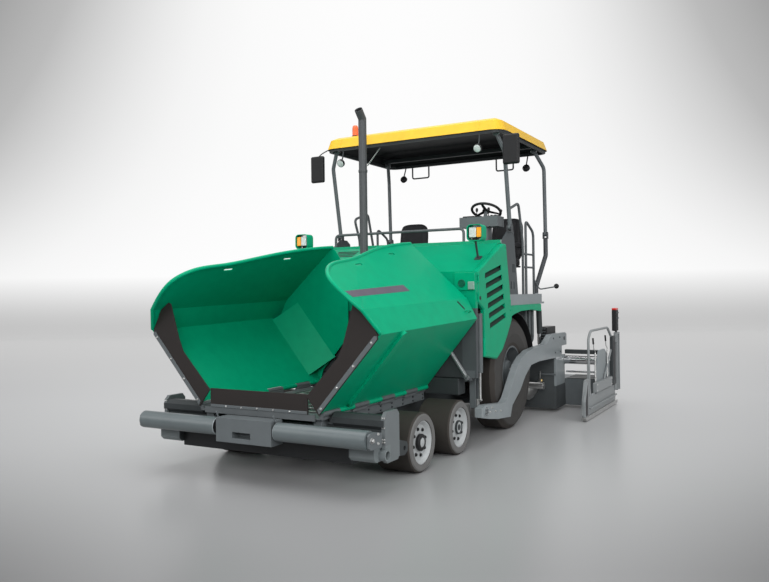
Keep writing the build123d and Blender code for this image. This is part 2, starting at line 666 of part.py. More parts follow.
def conveyor():
    """One lane: two chain loops round the end shafts, joined by the flight bars."""
    pieces = []
    length = CONVEYOR_REAR_Y - CONVEYOR_FRONT_Y
    for x in (LANE_IN + 8, LANE_OUT - 8 - CHAIN_W):
        loops = []
        for radius in (CHAIN_R + CHAIN_T / 2, CHAIN_R - CHAIN_T / 2):
            loop = bar_x(x, x + CHAIN_W, CONVEYOR_FRONT_Y, CHAIN_Z, radius)
            loop = loop + bar_x(x, x + CHAIN_W, CONVEYOR_REAR_Y, CHAIN_Z, radius)
            run = box(x, x + CHAIN_W, CONVEYOR_FRONT_Y, CONVEYOR_REAR_Y, CHAIN_Z - radius, CHAIN_Z + radius)
            loops.append(loop + run)
        pieces.append(loops[0] - loops[1])
    for index in range(int(length // SLAT_PITCH) + 1):
        y = CONVEYOR_FRONT_Y + index * SLAT_PITCH
        for z in (CHAIN_Z + CHAIN_R, CHAIN_Z - CHAIN_R):
            pieces.append(box(LANE_IN, LANE_OUT, y - 15, y + 15, z - 8, z + 8))
    return pieces[0].fuse(*pieces[1:])


# ---------------------------------------------------------------- engine bay
def engine_block():
    return box(-420, 420, 2420, 3080, TUNNEL_TOP + SEAT, 1560)


def bonnet_z(y):
    """Height of the bonnet's sloping front at a station."""
    share = (y - BONNET_FRONT_Y) / (BONNET_SHOULDER_Y - BONNET_FRONT_Y)
    return BONNET_FRONT_Z + share * (BONNET_TOP_Z - BONNET_FRONT_Z)


def bonnet():
    t = BONNET_T
    outer = [
        (BONNET_FRONT_Y, 1560), (BONNET_FRONT_Y, BONNET_FRONT_Z), (BONNET_SHOULDER_Y, BONNET_TOP_Z),
        (BONNET_REAR_Y, BONNET_TOP_Z + 12),
    ]
    inner = [
        (BONNET_REAR_Y, BONNET_TOP_Z + 12 - t), (BONNET_SHOULDER_Y + 2, BONNET_TOP_Z - t),
        (BONNET_FRONT_Y + t, BONNET_FRONT_Z - t), (BONNET_FRONT_Y + t, 1560),
    ]
    shell = prism(outer + inner, "x", -BONNET_X, BONNET_X)
    shell = shell - Pos(STACK_X, STACK_Y, 2100) * Cylinder(STACK_R + SEAT, 400)
    return shell


def door():
    outline = [
        (2312, 1893), (3075, 2225), (3180, 2225), (3330, 1508), (3352, 1340), (3200, 1163), (3029, 1001),
        (2850, 912), (2478, 967), (2478, 1480), (2312, 1560),
    ]
    panel = prism(outline, "x", DOOR_X - DOOR_T, DOOR_X)
    panel = chamfer(panel.faces().sort_by(Axis.X)[-1].edges(), 14)
    for index in range(LOUVRES):
        z = 1815 - index * LOUVRE_PITCH
        y = 2505 + index * 26
        slot = prism([(y, z), (y + 500, z + 105), (y + 500, z + 105 + LOUVRE_H), (y, z + LOUVRE_H)],
                     "x", DOOR_X - DOOR_T - 1, DOOR_X + 1)
        panel = panel - slot
    for z in DOOR_HINGE_Z:
        barrel = rod((DOOR_HINGE_X, DOOR_HINGE_Y, z + 1), (DOOR_HINGE_X, DOOR_HINGE_Y, z + 59), 10)
        leaf = box(DOOR_HINGE_X - 16, DOOR_HINGE_X - 4, DOOR_HINGE_Y, 2345, z + 1, z + 59)
        panel = panel + barrel + leaf
        panel = panel - rod((DOOR_HINGE_X, DOOR_HINGE_Y, z - 5), (DOOR_HINGE_X, DOOR_HINGE_Y, z + 65), 5 + FIT)
    return panel


def fender():
    skin = prism([
        (3352, 1345), (3334, 1493), (4610, 1493), (4610, 1400), (4200, 1432), (3800, 1425), (3560, 1395),
    ], "x", DOOR_X - 60, DOOR_X - 46)
    top = box(800, DOOR_X - 50, 3380, 4600, DECK_Z0 - SEAT - 15, DECK_Z0 - SEAT)
    return skin + top


def exhaust_stack():
    base = (STACK_X, STACK_Y, 1900)
    knee = (STACK_X, STACK_Y, STACK_TOP - 90)
    pipe_up = rod(base, knee, STACK_R)
    tip = rod(knee, (STACK_X, STACK_Y - 90, STACK_TOP + 10), STACK_R)
    band = Pos(STACK_X, STACK_Y, 3170) * Cylinder(STACK_R + 6, 30)
    whole = fuse([pipe_up, Pos(*knee) * Sphere(STACK_R), tip, band])
    bore = rod((STACK_X, STACK_Y, STACK_TOP - 300), knee, STACK_R - 5)
    return whole - bore - rod(knee, (STACK_X, STACK_Y - 180, STACK_TOP + 110), STACK_R - 5)


def headlamp():
    foot = prism([
        (2600, bonnet_z(2600) + SEAT), (2680, bonnet_z(2680) + SEAT), (2680, bonnet_z(2680) + 12),
        (2600, bonnet_z(2600) + 12),
    ], "x", 1085, 1155)
    stem = rod((1120, 2640, bonnet_z(2640) + 8), (1130, 2520, 2250), 12)
    shell = box(1060, 1235, 2470, 2590, 2240, 2400)
    return fuse([foot, stem, shell])


# ---------------------------------------------------------------- platform
def pin_fork(x, y, z, down, reach):
    """Two cheeks with a cross pin that hold a post's eye; down is -1 where they stand below it."""
    cheek = prism([(y - 30, z), (y - 30, z + down * reach), (y + 30, z + down * reach), (y + 30, z)], "x", x - 32, x - 21)
    pieces = [cheek, Pos(53, 0, 0) * cheek, bar_x(x - 32, x + 32, y, z, POST_PIN_R)]
    for left in (x - 32, x + 21):
        pieces.append(bar_x(left, left + 11, y, z, 30))
    return pieces


def platform():
    deck = box(-DECK_X, DECK_X, DECK_FRONT_Y, DECK_REAR_Y, DECK_Z0, DECK_Z1)
    cowl = box(-DECK_X, DECK_X, DECK_FRONT_Y, DECK_FRONT_Y + 20, DECK_Z1, COWL_Z)
    wall = prism([(3215, 1629), (3215, 2270), (3400, 2390), (3560, 2390), (3640, 2340), (3760, 1629)],
                 "x", DECK_X - 12, DECK_X)
    wall = wall - box(DECK_X - 13, DECK_X + 1, 3560, 3640, 1900, 2000)
    for y in (3500, 3600):
        wall = wall - box(DECK_X - 13, DECK_X + 1, y, y + 30, 1700, 1790)
    side = [wall]
    side += pin_fork(POST_X, FRONT_POST_Y, POST_FOOT_Z, -1, 52)
    side.append(box(DECK_X - 12, POST_X + 32, FRONT_POST_Y - 30, FRONT_POST_Y + 30, POST_FOOT_Z - 64, POST_FOOT_Z - 50))
    side += pin_fork(POST_X, REAR_POST_Y, POST_FOOT_Z, -1, 52)
    side.append(box(POST_X - 32, POST_X + 32, REAR_POST_Y - 30, REAR_POST_Y + 30, POST_FOOT_Z - 64, POST_FOOT_Z - 50))
    side.append(pipe([(1120, 4660, DECK_Z1 - 5), (1120, 4660, 1720), (POST_X, REAR_POST_Y, 2150),
                      (POST_X, REAR_POST_Y, POST_FOOT_Z - 60)], 60, POST_R))
    side.append(pin_ear(LIFT_X, LIFT_HEAD[0], LIFT_HEAD[1], DECK_Z0 + 5))
    side.append(box(LIFT_X - 46, DECK_X, DECK_REAR_Y - 40, LIFT_HEAD[0] + 40, DECK_Z0, DECK_Z0 + 24))
    side = fuse(side)
    carrier = box(-CHASSIS_X, CHASSIS_X, 3260, 4600, CHASSIS_TOP + SEAT, DECK_Z0)
    return fuse([deck, cowl, side, mirrored(side), carrier])


def pin_ear(x, y, z, top):
    """A hanging ear with the pin of a cylinder's head on its outer side."""
    ear = prism([(y - 30, z - 30), (y - 30, top), (y + 30, top), (y + 30, z - 30)], "x", x - 46, x - 32)
    return ear + bar_x(x - 40, x + 26, y, z, 14)


def guard_rails():
    y = DECK_FRONT_Y + 17
    front = pipe([(-1120, y, COWL_Z + SEAT), (-1120, y, 2435), (560, y, 2435), (560, y, COWL_Z + SEAT)], 60, TUBE_R)
    hoop = pipe([(HOOP_X, 3790, DECK_Z1 + SEAT), (HOOP_X, 3790, 2400), (HOOP_X, 3690, 2700), (HOOP_X, 4010, 2770),
                 (HOOP_X, 4150, 2300), (HOOP_X, 4150, DECK_Z1 + SEAT)], 70, TUBE_R)
    rear = pipe([(HOOP_X, 4300, DECK_Z1 + SEAT), (HOOP_X, 4300, 2560), (HOOP_X, 4590, 2400),
                 (HOOP_X, 4590, DECK_Z1 + SEAT)], 80, TUBE_R)
    return [front, hoop, mirrored(hoop), rear, mirrored(rear)]


def console():
    desk = box(610, 1100, 3300, 3520, 2450, 2575)
    leg = box(820, 960, 3330, 3480, DECK_Z1 + SEAT, 2450)
    column = rod((900, 3406, 2560), tuple(STEER_CENTRE - STEER_AXIS * 14), 22)
    return fuse([desk, leg, column])


def steering_wheel():
    centre = Plane(origin=STEER_CENTRE, z_dir=STEER_AXIS)
    pieces = [centre * Torus(175, 14), centre * Cylinder(28, 26)]
    for angle in (90, 210, 330):
        tip = centre * Pos(170 * cos(radians(angle)), 170 * sin(radians(angle)), 0)
        pieces.append(rod(tuple(centre.origin), tuple(tip.position), 9))
    return fuse(pieces)


def seat():
    x = 750
    base = box(x - 130, x + 130, 4000, 4280, DECK_Z1 + SEAT, 1980)
    cushion = box(x - 240, x + 240, 3900, 4380, 1980, 2110)
    back = prism([(4300, 2110), (4400, 2620), (4470, 2620), (4400, 2000), (4340, 2000)], "x", x - 230, x + 230)
    return fuse([base, cushion, back])


def canopy():
    t = 12
    peak = CANOPY_Z + CANOPY_H + 45
    outline = [
        (CANOPY_FRONT_Y, CANOPY_Z), (CANOPY_FRONT_Y + 60, CANOPY_Z + CANOPY_H), (4035, peak),
        (CANOPY_REAR_Y - 60, CANOPY_Z + CANOPY_H), (CANOPY_REAR_Y, CANOPY_Z),
    ]
    inner = [
        (CANOPY_FRONT_Y + t, CANOPY_Z - 1), (CANOPY_FRONT_Y + 66, CANOPY_Z + CANOPY_H - t), (4035, peak - t),
        (CANOPY_REAR_Y - 66, CANOPY_Z + CANOPY_H - t), (CANOPY_REAR_Y - t, CANOPY_Z - 1),
    ]
    shell = prism(outline, "x", -CANOPY_X, CANOPY_X) - prism(inner, "x", -CANOPY_X + t, CANOPY_X - t)
    frame = [shell]
    for y in (FRONT_POST_Y + POST_LEAN, REAR_POST_Y + POST_LEAN):
        z = POST_FOOT_Z + POST_RISE
        frame.append(box(-CANOPY_X + t, CANOPY_X - t, y - 30, y + 30, z + 40, z + 90))
        for side in (1, -1):
            frame += [sided(piece, side) for piece in pin_fork(POST_TOP_X, y, z, 1, 42)]
    return fuse(frame)


def post(foot_y, knee):
    """A folding canopy post: an eye at the foot, a slanted tube and an eye at the inward top."""
    foot = (POST_X, foot_y, POST_FOOT_Z)
    top = (POST_TOP_X, foot_y + POST_LEAN, POST_FOOT_Z + POST_RISE)
    pieces = [pipe([foot, knee, top], 120, POST_R - 5)]
    for x, y, z in (foot, top):
        pieces.append(bar_x(x - 18, x + 18, y, z, 32))
    whole = fuse(pieces)
    for x, y, z in (foot, top):
        whole = whole - bar_x(x - 60, x + 60, y, z, POST_PIN_R + FIT)
        for start, end in ((x - 60, x - 19), (x + 19, x + 60)):
            whole = whole - bar_x(start, end, y, z, 38)
    return whole


def front_posts():
    return post(FRONT_POST_Y, (1205, 3290, 3330))


def rear_posts():
    return post(REAR_POST_Y, (POST_X, 4820, 3330))


# ---------------------------------------------------------------- tow arms and screed
def tow_guide():
    rails = box(1110, 1122, TOW_Y - 50, TOW_Y + 50, 420, 800)
    for y in (TOW_Y - 50, TOW_Y + 38):
        rails = rails + box(1110, 1180, y, y + 12, 420, 800)
    plate = box(1110, 1122, TOW_Y - 50, TOW_Y + 50, 780, 1470)
    foot = box(CHASSIS_X + SEAT, 1112, TOW_Y - 40, TOW_Y + 40, 700, 780)
    cylinder = rod((TOW_CYL_X, TOW_Y, 800), (TOW_CYL_X, TOW_Y, 1440), 33)
    tie = box(1110, TOW_CYL_X, TOW_Y - 30, TOW_Y + 30, 1400, 1430)
    whole = fuse([rails, plate, foot, cylinder, tie])
    return whole - rod((TOW_CYL_X, TOW_Y, 799), (TOW_CYL_X, TOW_Y, 1100), 14 + FIT)


def tow_slider():
    block = box(1124, 1176, TOW_Y - 36, TOW_Y + 36, TOW_Z - 60, TOW_Z + 60)
    pin = bar_x(1170, ARM_OUT + 12, TOW_Y, TOW_Z, TOW_PIN_R)
    lug = box(1160, 1190, TOW_Y - 30, TOW_Y + 30, TOW_Z + 58, TOW_Z + 130)
    lug = lug + box(1160, TOW_CYL_X + 16, TOW_Y - 22, TOW_Y + 22, TOW_Z + 110, TOW_Z + 130)
    stem = rod((TOW_CYL_X, TOW_Y, TOW_Z + 125), (TOW_CYL_X, TOW_Y, 960), 14)
    return fuse([block, pin, lug, stem])


def arm_low(y):
    """Height of a tow arm's lower edge behind the bend."""
    share = (y - ARM_BEND[0]) / (ARM_REAR[0] - ARM_BEND[0])
    return ARM_BEND[1] + share * (ARM_REAR[1] - ARM_BEND[1])


def tow_arms():
    outline = [
        (2300, 333), (2300, 430), (2424, 455), (2994, 400), (3091, 445), (3266, 609), (3443, 780), (3627, 869),
        (3889, 933), (4285, 955), (4579, 966), (4843, 1075), (5300, 1075), ARM_REAR, ARM_BEND,
        (3959, 745), (3725, 631), (3539, 482), (3255, 340), (3182, 214), (2776, 250), (2534, 287),
    ]
    arm = prism(outline, "x", ARM_IN, ARM_OUT)
    arm = arm - bar_x(ARM_IN - 1, ARM_OUT + 1, TOW_Y, TOW_Z, TOW_PIN_R + FIT)
    arm = arm + bar_x(LIFT_PIN_X, ARM_IN + 1, LIFT_EYE[0], LIFT_EYE[1], 20)
    return arm


def screed_main():
    body = box(-SCREED_X, SCREED_X, SCREED_FRONT_Y, SCREED_REAR_Y, SCREED_Z0, SCREED_Z1)
    front = box(-SCREED_X, SCREED_X, SCREED_FRONT_Y, SCREED_FRONT_Y + 25, SCREED_Z1, 735)
    pieces = [body, front]
    for side in (1, -1):
        end = prism([
            (SCREED_FRONT_Y, SCREED_Z1), (SCREED_FRONT_Y, arm_low(SCREED_FRONT_Y) - SEAT),
            (ARM_REAR[0], ARM_REAR[1] - SEAT), (SCREED_REAR_Y - 20, 640), (SCREED_REAR_Y - 20, SCREED_Z1),
        ], "x", SCREED_X - 25, SCREED_X)
        sleeve = bar_x(SLEEVE_IN, SCREED_X, TUBE_Y, TUBE_Z, GUIDE_TUBE_R + 14)
        stay = box(SLEEVE_IN + 20, SLEEVE_IN + 60, SCREED_FRONT_Y + 5, TUBE_Y, 500, TUBE_Z)
        pieces += [sided(end, side), sided(sleeve, side), sided(stay, side)]
    bore = bar_x(SLEEVE_IN - 1, SCREED_X + 1, TUBE_Y, TUBE_Z, GUIDE_TUBE_R + FIT)
    return fuse(pieces) - bore - mirrored(bore)


def extension():
    body = box(560, EXT_OUT, SCREED_REAR_Y + CLEAR, EXT_REAR_Y, SCREED_Z0, SCREED_Z1 + 60)
    plate = box(EXT_OUT - 25, EXT_OUT, 5150, EXT_REAR_Y, SCREED_Z0 + 40, 800)
    tube = bar_x(TUBE_IN, EXT_OUT - 10, TUBE_Y, TUBE_Z, GUIDE_TUBE_R)
    return fuse([body, plate, tube])


def end_gate():
    outline = [
        (GATE_FRONT_Y, 60), (GATE_FRONT_Y + 40, 10), (6100, 10), (GATE_REAR_Y - 200, 60), (GATE_REAR_Y - 200, 380),
        (4800, 380), (4700, 520), (4480, 520),
    ]
    plate = prism(outline, "x", EXT_OUT + SEAT, EXT_OUT + SEAT + GATE_T)
    post = box(EXT_OUT + SEAT, EXT_OUT + 60, GATE_REAR_Y - 240, GATE_REAR_Y, 190, 1040)
    return plate + post


def auger():
    """Shaft with one continuous helical flight, lofted between radial sections."""
    shaft = bar_x(AUGER_IN, AUGER_OUT, AUGER_Y, AUGER_Z, AUGER_SHAFT_R)
    steps = 12
    start, end = AUGER_CASE_X + 30, AUGER_OUT - 40
    count = int((end - start) / AUGER_PITCH * steps)
    sections = []
    for index in range(count + 1):
        angle = 2 * pi * index / steps
        x = start + index * AUGER_PITCH / steps
        corners = []
        for dx, radius in ((-9, AUGER_SHAFT_R - 6), (9, AUGER_SHAFT_R - 6), (5, AUGER_R), (-5, AUGER_R)):
            corners.append((x + dx, AUGER_Y + radius * cos(angle), AUGER_Z + radius * sin(angle)))
        sections.append(Wire.make_polygon(corners, close=True))
    return shaft + Solid.make_loft(sections, ruled=True)





def lift_point(distance):
    reach = hypot(LIFT_EYE[0] - LIFT_HEAD[0], LIFT_EYE[1] - LIFT_HEAD[1])
    share = distance / reach
    y = LIFT_HEAD[0] + (LIFT_EYE[0] - LIFT_HEAD[0]) * share
    return LIFT_X, y, LIFT_HEAD[1] + (LIFT_EYE[1] - LIFT_HEAD[1]) * share


def lift_barrels():
    barrel = rod(lift_point(48), lift_point(LIFT_BARREL), 38) + rod(lift_point(0), lift_point(50), 20)
    barrel = barrel + bar_x(LIFT_X - 20, LIFT_X + 20, LIFT_HEAD[0], LIFT_HEAD[1], 30)
    barrel = barrel - bar_x(LIFT_X - 60, LIFT_X + 60, LIFT_HEAD[0], LIFT_HEAD[1], 14 + FIT)
    return barrel - rod(lift_point(60), lift_point(LIFT_BARREL + 1), 19 + FIT)


def lift_rods():
    stem = rod(lift_point(LIFT_BARREL - 30), lift_point(640), 19)
    ring = bar_x(LIFT_X - 20, LIFT_PIN_X - FIT, LIFT_EYE[0], LIFT_EYE[1], 32)
    return stem + ring


# ---------------------------------------------------------------- write the pieces
def main():
    os.makedirs("parts", exist_ok=True)
    save("chassis_frame", chassis_frame())
    save("front_axles", *front_axles())
    save("push_bar", push_bar())
    save("hopper_base", hopper_base())
    save("front_flap", front_flap())
    save("bonnet", bonnet())
    save("engine_block", engine_block())
    save("exhaust_stack", exhaust_stack())
    save("platform", platform())
    save("guard_rails", *guard_rails())
    save("console", console())
    save("steering_wheel", steering_wheel())
    save("canopy", canopy())
    save("screed_main", screed_main())
    pairs = (
        ("seats", seat()), ("headlamps", headlamp()), ("rear_fenders", fender()), ("rear_drives", rear_drive()),
        ("tow_guides", tow_guide()), ("tow_sliders", tow_slider()), ("tow_arms", tow_arms()),
        ("screed_lift_barrels", lift_barrels()), ("screed_lift_rods", lift_rods()),
        ("conveyor_chains", conveyor()), ("canopy_front_posts", front_posts()),
        ("canopy_rear_posts", rear_posts()),
    )
    for name, shape in pairs:
        save(name, shape, mirrored(shape))
    singles = (
        ("wing", wing()), ("wing_flap", wing_flap()), ("wing_cylinder", wing_barrel()), ("wing_rod", wing_rod()),
        ("push_roller", push_roller()), ("side_door", door()), ("rear_tyre", rear_tyre()),
        ("rear_rim", rear_rim()), ("screed_extension", extension()), ("end_gate", end_gate()),
        ("auger", auger()),
    )
    for name, shape in singles:
        for word, side in SIDES:
            save(name + "_" + word, sided(shape, side))
    for number, y in enumerate(FRONT_Y, 1):
        for name, shape in (("knuckle", knuckle(y)), ("front_rim", front_rim(y)), ("front_tyre", front_tyre(y))):
            for word, side in SIDES:
                save(name + "_" + str(number) + "_" + word, sided(shape, side))


main()
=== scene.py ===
from collections import namedtuple
from math import cos, exp, pi, radians, sin, tan

import bmesh
import bpy
from mathutils import Matrix, Vector
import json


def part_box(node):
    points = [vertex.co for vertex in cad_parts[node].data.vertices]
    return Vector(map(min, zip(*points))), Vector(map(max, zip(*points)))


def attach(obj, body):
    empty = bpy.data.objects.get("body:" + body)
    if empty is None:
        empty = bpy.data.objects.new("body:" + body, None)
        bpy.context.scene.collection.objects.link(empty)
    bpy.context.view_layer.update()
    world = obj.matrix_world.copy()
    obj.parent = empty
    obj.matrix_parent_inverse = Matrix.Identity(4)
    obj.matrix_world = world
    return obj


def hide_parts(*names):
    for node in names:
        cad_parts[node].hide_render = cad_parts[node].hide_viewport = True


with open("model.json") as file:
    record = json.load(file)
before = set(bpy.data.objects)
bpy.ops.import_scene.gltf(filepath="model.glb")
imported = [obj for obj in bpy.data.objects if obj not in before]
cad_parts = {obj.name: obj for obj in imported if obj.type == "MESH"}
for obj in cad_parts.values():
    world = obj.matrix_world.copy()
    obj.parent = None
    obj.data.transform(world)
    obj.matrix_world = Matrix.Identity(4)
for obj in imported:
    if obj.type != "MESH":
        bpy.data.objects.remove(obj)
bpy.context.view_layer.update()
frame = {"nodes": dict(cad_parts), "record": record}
nodes = frame["nodes"]
MID_Y = 3.135
SIDES = (("left", 1), ("right", -1))


def at(x, y, z):
    """A point given in millimetres, with Y counted back from the push rollers, in the row frame."""
    return Vector((x / 1000, y / 1000 - MID_Y, z / 1000))


# ---- materials
def set_inputs(tree, node, values):
    """Link each input, by name or number, to another node's output, or set a constant on it."""
    for key, value in values.items():
        if isinstance(value, bpy.types.NodeSocket):
            tree.links.new(value, node.inputs[key])
        else:
            node.inputs[key].default_value = value


def add(tree, kind, values, **settings):
    """A new shader node with its inputs and settings."""
    node = tree.nodes.new("ShaderNode" + kind)
    for name, setting in settings.items():
        setattr(node, name, setting)
    set_inputs(tree, node, values)
    return node


def calc(tree, operation, first, second=0.0):
    return add(tree, "Math", {0: first, 1: second}, operation=operation).outputs[0]


def times(tree, first, second):
    return calc(tree, "MULTIPLY", first, second)


def mix(tree, kind, factor, first, second):
    a, result = (6, 2) if kind == "RGBA" else (2, 0)
    return add(tree, "Mix", {0: factor, a: first, a + 1: second}, data_type=kind).outputs[result]


def zone_mask(tree, axes, zone):
    """1 inside a box (x0, x1, y0, y1, z0, z1) in millimetres; X counts from the middle on either side."""
    mask = None
    for index, axis in enumerate(axes):
        shift = MID_Y if index == 1 else 0
        for operation, limit in zip(("GREATER_THAN", "LESS_THAN"), zone[2 * index:2 * index + 2]):
            if limit is not None:
                part = calc(tree, operation, axis, limit / 1000 - shift)
                mask = times(tree, mask, part) if mask else part
    return mask


def paint(name, color, rough, metallic=0.0, specular=0.25, vary=0.05, scale=9.0, bump=0.02,
          grain=220.0, edge=1.25, edge_width=0.004, underside=None, zones=()):
    """Painted or bare surface: slow colour drift, fine bump, uneven gloss, rounded edges brightened as a
    painted highlight.

    zones are (box in millimetres, colour, roughness) patches of another finish, or of painted shade, on the
    same piece, and underside is a (colour, roughness) for its faces that look down.
    """
    mat = bpy.data.materials.new(name)
    mat.use_nodes = True
    tree = mat.node_tree
    bsdf = tree.nodes["Principled BSDF"]
    where = add(tree, "TexCoord", {})
    slow = add(tree, "TexNoise", {"Scale": scale, "Detail": 6.0, "Vector": where.outputs["Object"]})
    tone = (*color, 1)
    if underside:
        normal = add(tree, "SeparateXYZ", {0: where.outputs["Normal"]})
        mask = calc(tree, "LESS_THAN", normal.outputs[2], -0.1)
        tone = mix(tree, "RGBA", mask, tone, (*underside[0], 1))
        rough = mix(tree, "FLOAT", mask, rough, underside[1])
    if zones:
        split = add(tree, "SeparateXYZ", {0: where.outputs["Object"]})
        axes = (calc(tree, "ABSOLUTE", split.outputs[0]), split.outputs[1], split.outputs[2])
        for zone, zone_color, zone_rough in zones:
            mask = zone_mask(tree, axes, zone)
            tone = mix(tree, "RGBA", mask, tone, (*zone_color, 1))
            rough = mix(tree, "FLOAT", mask, rough, zone_rough)
    drift = add(tree, "MapRange", {
        "Value": slow.outputs["Fac"], "From Min": 0.3, "From Max": 0.7, "To Min": 1 - vary,
        "To Max": 1 + vary,
    })
    fine = add(tree, "TexNoise", {"Scale": grain, "Vector": where.outputs["Object"]})
    relief = add(tree, "Bump", {"Strength": bump, "Distance": 0.004, "Height": fine.outputs["Fac"]})
    strength = drift.outputs["Result"]
    if edge_width:
        bevel = add(tree, "Bevel", {"Radius": edge_width}, samples=4)
        set_inputs(tree, relief, {"Normal": bevel.outputs["Normal"]})
        shape = add(tree, "NewGeometry", {})
        normals = {0: bevel.outputs["Normal"], 1: shape.outputs["Normal"]}
        turn = add(tree, "VectorMath", normals, operation="DOT_PRODUCT")
        # the edge factor brightens the colour on rounded edges: a painted highlight
        painted_edge_highlight = add(tree, "MapRange", {
            "Value": turn.outputs["Value"], "From Min": 1.0, "From Max": 0.75, "To Min": 1.0, "To Max": edge,
        })
        strength = times(tree, strength, painted_edge_highlight.outputs["Result"])
    if not (underside or zones):
        tone = color
    scaled = add(tree, "VectorMath", {0: tone, "Scale": strength}, operation="SCALE")
    uneven = add(tree, "MapRange", {"To Min": -0.05, "To Max": 0.08, "Value": slow.outputs["Fac"]})
    set_inputs(tree, bsdf, {
        "Specular IOR Level": specular, "Normal": relief.outputs["Normal"], "Base Color": scaled.outputs[0],
        "Roughness": calc(tree, "ADD", uneven.outputs["Result"], rough), "Metallic": metallic,
    })
    return mat


Finish = namedtuple("Finish", "mat slot")


def coat(slot, color, rough, name=None, **look):
    """A material, and the slot of the record that its pieces go under."""
    return Finish(paint(name or slot, color, rough, **look), slot)


def under(slot, other):
    """The same material under another slot."""
    return Finish(other.mat, slot)


GREEN_C = (0.0, 0.30, 0.15)
LIGHT_C = (0.225, 0.25, 0.26)
POST_C = (0.06, 0.065, 0.07)
BASE_C = (0.10, 0.11, 0.115)
DARK_C = (0.035, 0.04, 0.042)
SHADE_C = (0.006, 0.012, 0.010)

GREEN = coat("green_paint", GREEN_C, 0.3, specular=0.1)
LIGHT_GREY = coat("light_grey_paint", LIGHT_C, 0.36)
MID_GREY = coat("light_grey_paint", (0.105, 0.118, 0.124), 0.4, "mid_grey_paint")
DARK_GREY = coat("dark_grey_paint", DARK_C, 0.45)
BLACK = coat("dark_grey_paint", (0.012, 0.012, 0.013), 0.42, "black_paint")
STEEL = coat("bare_steel", (0.55, 0.55, 0.54), 0.32, metallic=0.95, scale=14, vary=0.1)
CHROME = coat("chrome_rod", (0.75, 0.75, 0.76), 0.12, metallic=1.0, vary=0.02, bump=0.0)
CAST = coat("cast_parts", (0.05, 0.055, 0.058), 0.5, bump=0.12, grain=120)
SHEET = coat("rubber_sheet", (0.022, 0.018, 0.017), 0.62, bump=0.05, edge=1.6)
TYRE = coat("tyre_rubber", (0.04, 0.035, 0.031), 0.7, bump=0.08, edge=1.3, edge_width=0.008, zones=(
    ((1150, 1180, 3000, 4400, None, None), (0.05, 0.048, 0.046), 0.6),
    ((1164, 1180, 500, 2400, None, None), (0.13, 0.128, 0.126), 0.55),
))
PLASTIC = coat("black_plastic", (0.014, 0.014, 0.015), 0.5)
LEATHER = coat("seat_cover", (0.014, 0.014, 0.016), 0.55, bump=0.2, grain=400)
BLACK_TRIM = under("black_plastic", BLACK)
MID_CAST = under("cast_parts", MID_GREY)
ROLLER = paint("roller_paint", (0.10, 0.12, 0.125), 0.3, specular=0.45)
RIM = coat("light_grey_paint", (0.36, 0.375, 0.38), 0.32, "rim_paint")
STACK = paint("stack_paint", (0.07, 0.074, 0.078), 0.42)
# door vanes: the door's green darkened almost to black, painted shade inside the slots
SHADED_VANE = coat("green_paint", (0.004, 0.022, 0.014), 0.45, "vane_painted_shade")
GATE_GREY = coat("light_grey_paint", (0.225, 0.24, 0.245), 0.34, "gate_paint")
CYLINDER = paint("cylinder_paint", (0.20, 0.21, 0.215), 0.35, metallic=0.3)
DARK_GREEN = coat("green_paint", (0.0, 0.10, 0.055), 0.4, "dark_green_paint")
RAIL = coat("light_grey_paint", (0.09, 0.10, 0.105), 0.42, "rail_paint")
SCREEN = coat("black_plastic", (0.02, 0.025, 0.03), 0.1, "dark_screen", specular=0.5)
STRIPE = coat("black_plastic", (0.10, 0.09, 0.115), 0.35, "stripe_film", edge_width=0)
MIRROR = coat(None, (0.75, 0.77, 0.78), 0.04, "mirror_glass", metallic=1.0, vary=0.02, bump=0.0,
              edge_width=0)
BRASS = coat("bare_steel", (0.62, 0.45, 0.18), 0.3, "brass", metallic=0.9, vary=0.1)
SIDE_LENS = coat(None, (0.20, 0.30, 0.26), 0.2, "grey_green_lens", specular=0.4, bump=0.2, grain=90)


def lens(name, color, rough=0.15, **look):
    look = {"vary": 0.1, "bump": 0.2, "grain": 120, "edge_width": 0.002, **look}
    return coat(None, color, rough, name, specular=0.5, scale=60, **look)


CLEAR_LENS = lens("clear_lens", (0.55, 0.60, 0.58), 0.12, vary=0.15, bump=0.25, grain=90)
ORANGE_LENS = lens("orange_lens", (0.95, 0.38, 0.02))
BEACON_LENS = lens("beacon_lens", (0.80, 0.14, 0.04), 0.2, edge_width=0.004)
RED_LENS = lens("red_lens", (0.55, 0.02, 0.015))

ROOF = coat("yellow_paint", (0.78, 0.47, 0.03), 0.3, specular=0.2,
            underside=((0.016, 0.017, 0.018), 0.5))
FRAME_PAINT = paint("frame_paint", DARK_C, 0.45, zones=(
    ((1214, 1252, 240, 510, 255, 700), (0.13, 0.145, 0.15), 0.38),
    ((960, 1270, 140, 340, 270, 410), (0.15, 0.17, 0.175), 0.38),
    # near-black patch on the frame below the push rollers: painted shade under them
    ((None, 951, 200, 336, 236, 412), (0.012, 0.013, 0.014), 0.42),
    ((560, 1070, 2180, 2370, 570, 760), (0.07, 0.08, 0.085), 0.4),
))
BASE_PAINT = paint("base_paint", GREEN_C, 0.32, specular=0.1, zones=(
    ((None, None, None, 2234, None, 640), BASE_C, 0.4),
    ((652, None, None, 2234, None, 700), BASE_C, 0.4),
    ((None, None, 2234, 2320, 0, 1470), (0.05, 0.055, 0.058), 0.45),
    ((1090, 1260, 2234, 2320, 0, 1500), (0.07, 0.078, 0.083), 0.42),
    ((1090, 1230, 2170, 2236, 700, 840), (0.10, 0.11, 0.117), 0.4),
))
DOOR_PAINT = paint("door_paint", GREEN_C, 0.3, specular=0.1, zones=(
    ((0, 1241, 2480, 3095, 1170, 1930), SHADE_C, 0.5),
    ((0, 1241, 2750, 3095, 1900, 2000), SHADE_C, 0.5),
))
